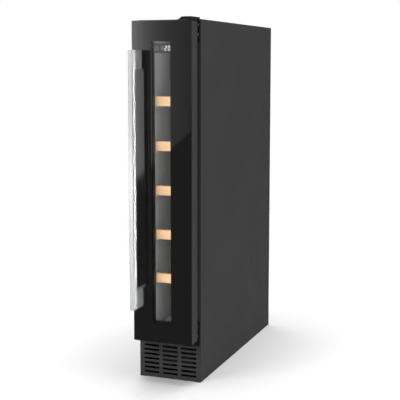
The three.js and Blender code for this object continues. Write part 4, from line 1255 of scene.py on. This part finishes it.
# ---------------------------------------------------------------- cooling
@dataclass
class Plant:
    """The cooling plant: coils, fans, compressor, control box and tray."""

    tube_radius: float = 0.0025
    coil_bend: float = 0.010
    bend_steps: int = 13
    fin_half: float = 0.0003  # half the thickness of a fin
    fin_corner: float = 0.002
    fin_ripple: float = 0.0006
    blades: int = 7
    blade_pitch: float = 0.6  # radians from the rotor's plane, at the root
    tip_pitch: float = 0.72  # share of it at the tip
    blade_half: float = 0.0006  # half the thickness of a blade
    blade_grid: tuple[int, int] = (8, 9)
    hub_share: float = 0.34  # of the rotor's radius
    can_radius: float = 0.049
    can_dome: float = 0.027
    can_seam: float = 0.58  # share of the can's height
    seam_stands: float = 0.0012
    plate_half: Span = (0.040, 0.059)
    plate_thick: float = 0.003
    plate_corner: float = 0.008
    mount_high: float = 0.008
    mount_radii: Span = (0.0078, 0.0066)
    mount_inset: float = 0.010
    mount_ribs: int = 9
    cover_edge: float = 0.0003

    def coil(self, node: str, fins: int, passes: int) -> None:
        """Rippled fins on a tube that runs to and fro: straight runs joined by half circles.

        A fin's point is moved along X by ripple * sin(pi * passes * share of its height).

        Args:
            node: the frame's coil.
            fins: number of fins.
            passes: number of straight runs.
        """
        low, high = corners(node)
        fin_low, fin_high = low[0] + self.coil_bend, high[0] - self.coil_bend
        step = (high[2] - low[2]) / passes
        middle = (low[1] + high[1]) / 2
        heights = low[2] + (np.arange(passes) + 0.5) * step
        path = []
        reach = min(step / 2, self.coil_bend - self.tube_radius)
        turn = np.linspace(-math.pi / 2, math.pi / 2, self.bend_steps)
        for index, z in enumerate(heights):
            side = 1 if index % 2 == 0 else -1
            start, stop = (fin_low, fin_high) if side == 1 else (fin_high, fin_low)
            path.append(np.linspace((start, middle, z), (stop, middle, z), 6))
            if index < passes - 1:
                arc = np.stack([
                    stop + side * reach * np.cos(turn),
                    np.full(len(turn), middle),
                    z + step / 2 + step / 2 * np.sin(turn),
                ], axis=-1)
                path.append(arc[1:-1])
        paths = [(np.concatenate(path), self.tube_radius)]
        fit(wires(f"{node}_tube", paths, 14), "cabinet", Look.ALUMINIUM, node)
        for index, x in enumerate(np.linspace(fin_low, fin_high, fins)):
            ripple = self.fin_ripple * (-1) ** index
            outline = rounded_outline(low[[1, 2]], high[[1, 2]], self.fin_corner)[0]
            shift = ripple * np.sin((outline[:, 1] - low[2]) / (high[2] - low[2]) * math.pi * passes)
            faces = [np.full(len(outline), x + side * self.fin_half) + shift for side in (-1, 1)]
            rings = np.array([np.stack([face, outline[:, 0], outline[:, 1]], axis=-1) for face in faces])
            fit(loft(f"{node}_fin_{index + 1}", rings), "cabinet", Look.ALUMINIUM)

    def rotor(self, node: str, body: str) -> None:
        """A moulded rotor: a domed hub and blades whose chord twists from root to tip.

        A blade's point is at radius r, angle t0 + turn * s * cos(pitch), place + chord * s * sin(pitch),
        where s runs across the chord from -1 to 1.

        Args:
            node: the frame's rotor.
            body: the body that it turns with.
        """
        low, high = corners(node)
        joint = next(one for one in frame["joints"] if one["child"] == body)
        centre = np.array(joint["pos_m"])[[0, 2]]
        tip = max(high[2] - centre[1], high[0] - centre[0])
        hub = tip * self.hub_share
        depth = high[1] - low[1]
        dome = depth * 0.2
        profile = np.array([
            (0, low[1]), (hub * 0.8, low[1]), (hub, low[1] + dome),
            (hub, high[1] - dome / 3), (hub * 0.94, high[1]), (0, high[1]),
        ])
        fit(turned(f"{node}_hub", Axis.Y, centre, profile), body, Look.GREY_PLASTIC, node)
        rows, columns = self.blade_grid
        radii = np.linspace(hub * 0.97, tip * 0.985, rows)[:, None]
        across = np.linspace(-1, 1, columns)[None, :]
        pitch = np.linspace(self.blade_pitch, self.blade_pitch * self.tip_pitch, rows)[:, None]
        chord = depth * 0.42 / math.sin(self.blade_pitch)
        middle = (low[1] + high[1]) / 2
        sweep = across * chord * np.cos(pitch) / (radii * 0.5 + tip * 0.35)
        for index in range(self.blades):
            angle = 2 * math.pi * index / self.blades + sweep
            place = middle + across * chord * np.sin(pitch) * (0.96 - 0.1 * (1 - np.abs(across)))
            layers = []
            for side in (-1, 1):
                swell = self.blade_half * np.sqrt(np.clip(1 - across**2, 0, 1)) * side
                x, z = centre[0] + radii * np.cos(angle), centre[1] + radii * np.sin(angle)
                layers.append(np.stack([x, place + swell, z], axis=-1))
            ring = np.concatenate([layers[0], layers[1][:, ::-1][:, 1:-1]], axis=1)
            fit(loft(f"{node}_blade_{index + 1}", ring), body, Look.GREY_PLASTIC)

    def compressor(self) -> None:
        """The compressor: a domed can with a welded seam, on a plate with four ribbed rubber mounts."""
        low, high = corners("compressor")
        centre = ((low + high) / 2)[:2]
        radius, dome, stands = self.can_radius, self.can_dome, self.seam_stands
        bottom, top = low[2] + self.mount_high, high[2]
        turn = np.linspace(0, math.pi / 2, 2 * ARC)
        lower = np.stack([radius * np.sin(turn), bottom + dome * (1 - np.cos(turn))], axis=-1)
        seam_z = bottom + (top - bottom) * self.can_seam
        seam = np.array([
            (radius, seam_z - 0.003), (radius + stands, seam_z - 0.002),
            (radius + stands, seam_z + 0.002), (radius, seam_z + 0.003),
        ])
        upper = np.stack([radius * np.cos(turn), top - dome * (1 - np.sin(turn))], axis=-1)
        can = turned("compressor_can", Axis.Z, centre, np.concatenate([lower, seam, upper]), sides=64)
        fit(can, "cabinet", Look.ENAMEL, "compressor")
        half = np.array(self.plate_half)
        ends = (bottom - 0.0002, bottom + self.plate_thick)
        base = filleted_bar(
            "compressor_plate", Axis.Z, centre - half, centre + half, ends, self.plate_corner, 0.0008
        )
        fit(base, "cabinet", Look.ZINC)
        ribs = np.linspace(low[2], bottom - 0.0004, self.mount_ribs)
        radii = np.where(np.arange(self.mount_ribs) % 2 == 0, *self.mount_radii)
        for side_x in (-1, 1):
            for side_y in (-1, 1):
                place = centre + (half - self.mount_inset) * (side_x, side_y)
                profile = np.array([(0, ribs[0]), *zip(radii, ribs), (0, ribs[-1])])
                name = f"compressor_mount_{(side_x + 1) // 2}{(side_y + 1) // 2}"
                fit(turned(name, Axis.Z, place, profile, sides=28), "cabinet", Look.RUBBER)

    def build(self) -> None:
        """Builds the plant, and dresses the parts of it that keep their shape."""
        self.coil("evaporator", 11, 5)
        self.coil("condenser", 17, 4)
        self.rotor("cellar_fan_rotor", "cellar_fan")
        self.rotor("bay_fan_rotor", "bay_fan")
        self.compressor()
        for node, finish in (
            ("cellar_fan_frame", Look.BLACK_PLASTIC), ("bay_fan_frame", Look.BLACK_PLASTIC),
            ("control_box", Look.GREY_PLASTIC), ("start_relay", Look.BLACK_PLASTIC),
            ("drip_tray", Look.GREY_PLASTIC), ("bulkhead", Look.ZINC),
        ):
            fit(softened(node, f"{node}_finished", self.cover_edge), "cabinet", finish, node)


# ---------------------------------------------------------------- door
@dataclass
class Door:
    """The framed glass door, its seal, its display and its long handle."""

    window_half: float = 0.0219
    window_middle: float = -0.0009
    window: Span = (0.142, 0.767)
    glass_corner: float = 0.0025
    arris: float = 0.0006
    inner_corner: float = 0.001
    soft_edge: float = 0.0003
    frame_edge: float = 0.0005
    seal_width: float = 0.010
    seal_corner: float = 0.003
    digit_size: Span = (0.0040, 0.0092)
    digit_stroke: float = 0.0011
    digit_places: Span = (0.0088, 0.0170)
    bar_place: float = 0.0005
    bar_half: Span = (0.0028, 0.0005)
    bar_step: float = 0.003
    ring_place: float = -0.0128
    ring_radii: Span = (0.0032, 0.0041)
    print_depth: float = 0.00015
    handle_corner: float = 0.0012
    handle_edge: float = 0.0009
    post_corner: float = 0.001
    screw_head: float = 0.0027
    bush_bore: float = 0.00315
    bush_lip: float = 0.0004

    def panes(self) -> None:
        """The printed outer pane, with polished edges, and the clear inner one."""
        middle_z = sum(self.window) / 2
        hole = (self.window_middle, middle_z, self.window_half, (self.window[1] - self.window[0]) / 2)
        printed = PrintedPane(
            "printed_glass", "black_glass", (0.004, 0.004, 0.0045),
            tint=(0.88, 0.88, 0.875), mirror=0.7, windows=(hole,),
        )
        low, high = corners("outer_glass")
        pane = filleted_bar(
            "outer_pane", Axis.Y, low[[0, 2]], high[[0, 2]], (low[1], high[1]), self.glass_corner, self.arris
        )
        fit(pane, "door", printed, "outer_glass")
        low, high = corners("inner_glass")
        ends = (low[1], high[1])
        pane = filleted_bar(
            "inner_pane", Axis.Y, low[[0, 2]], high[[0, 2]], ends, self.inner_corner, self.arris / 2
        )
        fit(pane, "door", Look.INNER_PANE, "inner_glass")
        spacer = softened("glass_spacer", "spacer_bar", self.soft_edge)
        fit(spacer, "door", Look.ALUMINIUM, "glass_spacer")

    def frame_and_seal(self) -> None:
        """The moulded frame with soft edges, and a seal whose bellows runs round the door."""
        moulding = softened("door_frame", "door_frame_moulding", self.frame_edge)
        fit(moulding, "door", Look.FRAME, "door_frame")
        low, high = corners("door_gasket")
        front, back = low[1], high[1]
        depth = back - front
        half = self.seal_width / 2
        outer_side = [
            (half * 0.55, front), (half * 0.62, front + depth * 0.22), (half * 0.98, front + depth * 0.34),
            (half * 0.80, front + depth * 0.50), (half * 0.98, front + depth * 0.66),
            (half * 0.96, back - depth * 0.12), (half * 0.8, back),
        ]
        inner_side = [(-u, v) for u, v in reversed(outer_side)]
        profile = np.array([inner_side[-1], *outer_side, *inner_side[:-1]])
        path_low, path_high = low[[0, 2]] + half, high[[0, 2]] - half
        seal = carried("door_seal", Axis.Y, path_low, path_high, self.seal_corner, profile)
        fit(seal, "door", Look.RUBBER, "door_gasket")

    def strokes(
        self, name: str, boxes: Sequence[tuple[float, float, float, float]], finish: Finish
    ) -> None:
        """Flat lit strokes on the display's face, each a thin bar with pointed ends.

        Args:
            name: the first part of the pieces' names.
            boxes: middle X, middle Z, half width and half height of each.
            finish: how they are lit.
        """
        face = corners("touch_display")[0][1]
        for index, (x, z, half_x, half_z) in enumerate(boxes):
            thin = min(half_x, half_z) * 0.9
            long_x = half_x - thin * (half_x > half_z)
            long_z = half_z - thin * (half_z > half_x)
            ring = np.array([
                (x + long_x, z + long_z), (x, z + half_z), (x - long_x, z + long_z), (x - half_x, z),
                (x - long_x, z - long_z), (x, z - half_z), (x + long_x, z - long_z), (x + half_x, z),
            ])
            depths = np.array([face - self.print_depth, face])
            rings = Axis.Y.lay(np.array([ring, ring]), np.broadcast_to(depths[:, None], (2, len(ring))))
            fit(loft(f"{name}_{index + 1}", rings), "door", finish)

    def digit(self, name: str, centre: Sequence[float], lit: str) -> None:
        """One seven-segment digit.

        Args:
            name: the first part of its strokes' names.
            centre: X and Z of its middle.
            lit: the segments that are lit, from a to g.
        """
        width, height = self.digit_size
        across, upright, stroke = width / 2, height / 4, self.digit_stroke / 2
        segments = {
            "a": (0, height / 2, across, stroke), "g": (0, 0, across, stroke),
            "d": (0, -height / 2, across, stroke),
            "b": (across, upright, stroke, upright), "c": (across, -upright, stroke, upright),
            "f": (-across, upright, stroke, upright), "e": (-across, -upright, stroke, upright),
        }
        gap = 0.92  # share of its length that a segment fills
        boxes = []
        for x, z, half_x, half_z in (segments[one] for one in lit):
            boxes.append((centre[0] + x, centre[1] + z, half_x * gap, half_z * gap))
        self.strokes(name, boxes, Look.DIGITS)

    def display(self) -> None:
        """The touch display: a dark board with two lit digits, a lamp ring and two dim bars."""
        low, high = corners("touch_display")
        ends = (low[1], high[1])
        board = filleted_bar(
            "display_board", Axis.Y, low[[0, 2]], high[[0, 2]], ends, self.inner_corner, self.soft_edge
        )
        fit(board, "door", Look.DISPLAY, "touch_display")
        z = (low[2] + high[2]) / 2
        for number, (x, lit) in enumerate(zip(self.digit_places, ("abged", "abcdef")), 1):
            self.digit(f"display_digit_{number}", (x, z), lit)
        bars = [(self.bar_place, z + rise, *self.bar_half) for rise in (-self.bar_step, 0.0, self.bar_step)]
        self.strokes("display_bar", bars, Look.ICONS)
        face, lit = low[1], low[1] - self.print_depth
        inner, outer = self.ring_radii
        profile = np.array([(inner, lit), (outer, lit), (outer, face), (inner, face), (inner, lit)])
        ring = turned("display_lamp_ring", Axis.Y, (self.ring_place, z), profile, 40)
        fit(ring, "door", Look.ICONS)

    def handle(self) -> None:
        """The polished bar with eased edges, its two posts and screws, and the two pivot bushes."""
        low, high = corners("handle_bar")
        ends = (low[2], high[2])
        bar = filleted_bar(
            "handle_bar_polished", Axis.Z, low[:2], high[:2], ends, self.handle_corner, self.handle_edge
        )
        fit(bar, "door", Look.HANDLE, "handle_bar")
        for end in ("upper", "lower"):
            self.post(end)
            self.post_screw(end)
            self.bush(end)

    def post(self, end: str) -> None:
        """A post of the handle: a short bar with eased edges.

        Args:
            end: upper or lower.
        """
        low, high = corners(f"handle_post_{end}")
        name, ends = f"handle_post_{end}_polished", (low[1], high[1])
        post = filleted_bar(
            name, Axis.Y, low[[0, 2]], high[[0, 2]], ends, self.post_corner, self.soft_edge
        )
        fit(post, "door", Look.HANDLE, f"handle_post_{end}")

    def post_screw(self, end: str) -> None:
        """A screw that holds a post from inside the door, with a round driving recess.

        Args:
            end: upper or lower.
        """
        low, high = corners(f"handle_screw_{end}")
        centre, head = ((low + high) / 2)[[0, 2]], (high[0] - low[0]) / 2
        shank, seat = head * 2.5 / 4.5, high[1] - self.screw_head
        profile = np.array([
            (0, low[1]), (shank * 0.7, low[1]), (shank, low[1] + 0.001), (shank, seat), (head - 0.0004, seat),
            (head, seat + 0.0004), (head, high[1] - 0.0008), (head - 0.0008, high[1]),
            (head * 0.48, high[1]), (head * 0.42, high[1] - 0.0016), (0, high[1] - 0.0018),
        ])
        screw = turned(f"handle_screw_{end}_turned", Axis.Y, centre, profile, 36)
        fit(screw, "door", Look.FASTENER, f"handle_screw_{end}")

    def bush(self, end: str) -> None:
        """A plain bush that a hinge pin turns in, with chamfered rims.

        Args:
            end: upper or lower.
        """
        low, high = corners(f"pivot_bush_{end}")
        centre, outer = ((low + high) / 2)[:2], (high[0] - low[0]) / 2
        bore, lip = self.bush_bore, self.bush_lip
        profile = np.array([
            (bore + lip, low[2]), (outer - lip, low[2]), (outer, low[2] + lip), (outer, high[2] - lip),
            (outer - lip, high[2]), (bore + lip, high[2]), (bore, high[2] - lip), (bore, low[2] + lip),
            (bore + lip, low[2]),
        ])
        bush = turned(f"pivot_bush_{end}_turned", Axis.Z, centre, profile, 36)
        fit(bush, "door", Look.GREY_PLASTIC, f"pivot_bush_{end}")

    def build(self) -> None:
        """Builds every piece of the door."""
        self.panes()
        self.frame_and_seal()
        self.display()
        self.handle()


# ---------------------------------------------------------------- hinges
@dataclass
class Hinges:
    """The two hinges, their pins and screws, and the cap over the upper one."""

    cap_edge: float = 0.0009
    arm_edge: float = 0.0003
    recess: float = 0.0009
    screws_in_all: int = 4
    pin_head: float = 0.0015
    pin_ease: float = 0.0003
    pin_chamfer: float = 0.0008

    def arms(self) -> None:
        """Pressed steel arms with rounded edges."""
        for end in ("upper", "lower"):
            arm = softened(f"hinge_{end}", f"hinge_{end}_pressing", self.arm_edge)
            fit(arm, "cabinet", Look.HINGE, f"hinge_{end}")
            self.pin(end)

    def pin(self, end: str) -> None:
        """A headed pin with a chamfered end.

        Args:
            end: upper or lower.
        """
        low, high = corners(f"hinge_pin_{end}")
        centre, head = ((low + high) / 2)[:2], (high[0] - low[0]) / 2
        shank, thick, ease, chamfer = head * 3 / 4.5, self.pin_head, self.pin_ease, self.pin_chamfer
        flip = -1 if end == "upper" else 1
        base = high[2] if end == "upper" else low[2]
        tip = low[2] if end == "upper" else high[2]
        profile = np.array([
            (0, base), (head - ease, base), (head, base + flip * ease), (head, base + flip * (thick - ease)),
            (head - ease, base + flip * thick), (shank, base + flip * thick), (shank, tip - flip * chamfer),
            (shank - chamfer, tip), (0, tip),
        ])
        pin = turned(f"hinge_pin_{end}_turned", Axis.Z, centre, profile, 36)
        fit(pin, "cabinet", Look.FASTENER, f"hinge_pin_{end}")

    def screws(self) -> None:
        """Countersunk screws with a round driving recess."""
        for number in range(1, self.screws_in_all + 1):
            node = f"hinge_screw_{number}"
            low, high = corners(node)
            centre, head = ((low + high) / 2)[[0, 2]], (high[0] - low[0]) / 2
            shank, face = head * 2 / 3.8, low[1]
            profile = np.array([
                (0, face + self.recess), (head * 0.36, face + self.recess * 0.8), (head * 0.42, face),
                (head - 0.0002, face), (head, face + 0.0002), (shank, face + head - shank),
                (shank, high[1] - 0.001), (0, high[1]),
            ])
            screw = turned(f"{node}_turned", Axis.Y, centre, profile, 30)
            fit(screw, "cabinet", Look.FASTENER, node)

    def cap(self) -> None:
        """The gloss cap: a moulding whose inner end ramps down to the door in an S-curve."""
        moulding = softened("hinge_cap", "hinge_cap_moulding", self.cap_edge, 3)
        fit(moulding, "cabinet", Look.GLOSS_BLACK, "hinge_cap")

    def build(self) -> None:
        """Builds every piece of the hinges."""
        self.arms()
        self.screws()
        self.cap()


# ---------------------------------------------------------------- studio
@dataclass
class Studio:
    """The camera, the pale floor and the soft lights."""

    eye: tuple[float, float, float] = (0.8227, -2.1819, 0.7130)
    turn: float = math.radians(20.895)
    tilt: float = math.radians(6.778)
    lens: float = 86.07
    shift: float = -0.05
    sensor: float = 36.0
    clip: Span = (0.05, 50.0)
    floor_radius: float = 1.5
    floor_steps: int = 96
    floor_fade: Span = (0.35, 0.98)  # shares of the radius where the fading starts and stops
    surround: float = 0.36
    mirrored_surround: float = 0.11
    box_plane: float = -2.46
    box_side: float = -1.087  # X up to which the soft box is at its brightest
    box_fall: float = -12.0
    box_most: float = 1.3
    box_glow: float = 1.6
    box_least: float = 0.21
    cellar_plane: float = -0.2232
    cellar_width: float = 0.076

    def camera(self) -> None:
        """A long lens in front and to the right of the cooler, a little above its middle."""
        data = bpy.data.cameras.new("camera")
        data.lens, data.sensor_width, data.shift_y = self.lens, self.sensor, self.shift
        data.clip_start, data.clip_end = self.clip
        camera = bpy.data.objects.new("camera", data)
        camera.location = self.eye
        camera.rotation_euler = (math.pi / 2 - self.tilt, 0.0, self.turn)
        bpy.context.scene.collection.objects.link(camera)
        bpy.context.scene.camera = camera

    def floor(self) -> None:
        """A pale round floor that fades out towards its rim."""
        around = np.linspace(0, 2 * math.pi, self.floor_steps, endpoint=False)
        rings = np.array([0.02, 0.5, 1.0, self.floor_radius])[:, None]
        level = np.zeros((len(rings), self.floor_steps))
        points = np.stack([rings * np.cos(around), rings * np.sin(around), level], axis=-1)
        mesh = bpy.data.meshes.new("floor")
        faces = [*quads(len(rings), self.floor_steps).tolist(), list(range(self.floor_steps))]
        mesh.from_pydata(points.reshape(-1, 3).tolist(), [], faces)
        floor = placed("floor", mesh)
        shader = Shader("floor_paper")
        here = shader.place()
        x, y, _ = shader.axes(here)
        away = (x * x + y * y) ** 0.5
        starts, stops = (self.floor_radius * share for share in self.floor_fade)
        grain = shader.noise(here, 400.0)
        surface = shader.skin(
            Base_Color=shader.shades((0.88, 0.88, 0.88), grain, 0.98, 1.02),
            Roughness=0.9,
            Specular_IOR_Level=0.1,
            Alpha=away.ramp(starts, stops, 1.0, 0.0),
        )
        floor.data.materials.append(shader.finish(surface))
        floor.visible_glossy = False
        floor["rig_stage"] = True

    def surroundings(self) -> None:
        """A white backdrop for the camera and a dim even room for everything else."""
        world = bpy.data.worlds.new("studio")
        bpy.context.scene.world = world
        world.use_nodes = True
        nodes, links = world.node_tree.nodes, world.node_tree.links
        nodes.clear()
        path = nodes.new("ShaderNodeLightPath")
        output = nodes.new("ShaderNodeOutputWorld")

        def room(grey: float) -> bpy.types.Node:
            """An even grey background."""
            made = nodes.new("ShaderNodeBackground")
            made.inputs["Color"].default_value = (grey, grey, grey, 1.0)
            return made

        last = room(self.surround)
        for ray, grey in (("Is Glossy Ray", self.mirrored_surround), ("Is Camera Ray", 1.0)):
            mixed = nodes.new("ShaderNodeMixShader")
            links.new(path.outputs[ray], mixed.inputs[0])
            links.new(last.outputs[0], mixed.inputs[1])
            links.new(room(grey).outputs[0], mixed.inputs[2])
            last = mixed
        links.new(last.outputs[0], output.inputs[0])

    def lamp(
        self,
        name: str,
        place: Sequence[float],
        aim: Sequence[float],
        size: Span,
        power: float,
        *only: bpy.types.Object,
    ) -> None:
        """A soft rectangular lamp that the camera doesn't see.

        Args:
            name: the lamp's name.
            place: where it hangs.
            aim: the point that it faces.
            size: its width and height.
            power: its power in watts.
            *only: the pieces that it lights, if not all; only they cast shadows in its light.
        """
        data = bpy.data.lights.new(name, "AREA")
        data.shape, data.size, data.size_y, data.energy = "RECTANGLE", *size, power
        lamp = bpy.data.objects.new(name, data)
        lamp.location = place
        lamp.rotation_euler = (Vector(aim) - Vector(place)).to_track_quat("-Z", "Y").to_euler()
        lamp.visible_camera = False
        bpy.context.scene.collection.objects.link(lamp)
        if only:
            data.cycles.use_multiple_importance_sampling = False  # a mirror ray would stop at the door
            lit = bpy.data.collections.new(f"{name}_lights")
            for piece in only:
                lit.objects.link(piece)
            lamp.light_linking.receiver_collection = lit
            lamp.light_linking.blocker_collection = lit

    def soft_box(self) -> None:
        """A tall soft box at the front left, brightest at its outer side, with its lower edge cut on a slant.

        Its corners are set out in an upright plane in front of the door, which mirrors it. Its light is
        glow * min(exp(fall * (x - side)), most) + least.
        """
        outline = np.array([(-1.45, -0.125), (-0.45, 0.695), (-0.45, 1.9), (-1.45, 1.9)])
        plane = np.full(len(outline), self.box_plane)
        points = np.stack([outline[:, 0], plane, outline[:, 1]], axis=-1)
        mesh = bpy.data.meshes.new("soft_box")
        mesh.from_pydata(points.tolist(), [], [list(range(len(outline)))])
        box = placed("soft_box", mesh)
        shader = Shader("soft_box_cloth")
        x = shader.axes(shader.place())[0]
        fade = ((x - self.box_side) * self.box_fall).math("EXPONENT").math("MINIMUM", self.box_most)
        glow = fade * self.box_glow + self.box_least
        cloth = shader.node("ShaderNodeEmission", {"Color": (1.0, 1.0, 1.0), "Strength": glow})
        box.data.materials.append(shader.finish(cloth))
        box.visible_camera = False
        box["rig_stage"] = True

    def build(self) -> None:
        """Sets up the studio."""
        bpy.context.scene.view_settings.view_transform = "Standard"
        self.camera()
        self.floor()
        self.surroundings()
        self.soft_box()
        self.lamp("key", (-1.6, -3.0, 2.6), (0, 0, 0.4), (1.6, 1.6), 60.0)
        self.lamp("right_fill", (3.2, -0.2, 1.6), (0, 0, 0.4), (2.0, 2.4), 30.0)
        self.lamp("top", (0, 0.3, 3.2), (0, 0, 0.5), (2.4, 2.4), 100.0)
        for name, low, high, power in (("lower", 0.13, 0.44, 0.16), ("upper", 0.44, 0.75, 0.165)):
            middle = (low + high) / 2
            place, aim = (0, self.cellar_plane, middle), (0, 0.1, middle)
            self.lamp(f"cellar_{name}", place, aim, (self.cellar_width, high - low), power)

    def handle_lights(self) -> None:
        """Lamps that light the handle alone: one in front, and one that its right faces mirror."""
        bar = bpy.data.objects["handle_bar_polished"]
        posts = [bpy.data.objects[f"handle_post_{end}_polished"] for end in ("upper", "lower")]
        near, near_aim, near_size = (-0.40, -1.0, 0.20), (-0.05, -0.3, 0.20), (0.4, 0.52)
        right, aim, size = (0.80, 1.50, 0.15), (-0.05, -0.3, 0.4), (1.2, 1.9)
        self.lamp("handle_front", near, near_aim, near_size, 0.72, bar, *posts)
        self.lamp("bar_right", right, aim, size, 9.6, bar)
        self.lamp("posts_right", right, aim, size, 1.6, *posts)


def main() -> None:
    """Builds the cooler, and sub-assembly by sub-assembly."""
    logging.basicConfig(level=logging.INFO, format="%(name)s: %(message)s")
    studio = Studio()
    studio.build()
    for assembly in (Cabinet(), Cellar(), Plant(), Door(), Hinges()):
        LOG.info("building %s", type(assembly).__name__)
        assembly.build()
    studio.handle_lights()
    boxes = {"cad": CAD_BOX, "visual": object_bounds()}
    boxes = {name: [list(corner) for corner in box] for name, box in boxes.items()}


if __name__ == "__main__":
    main()
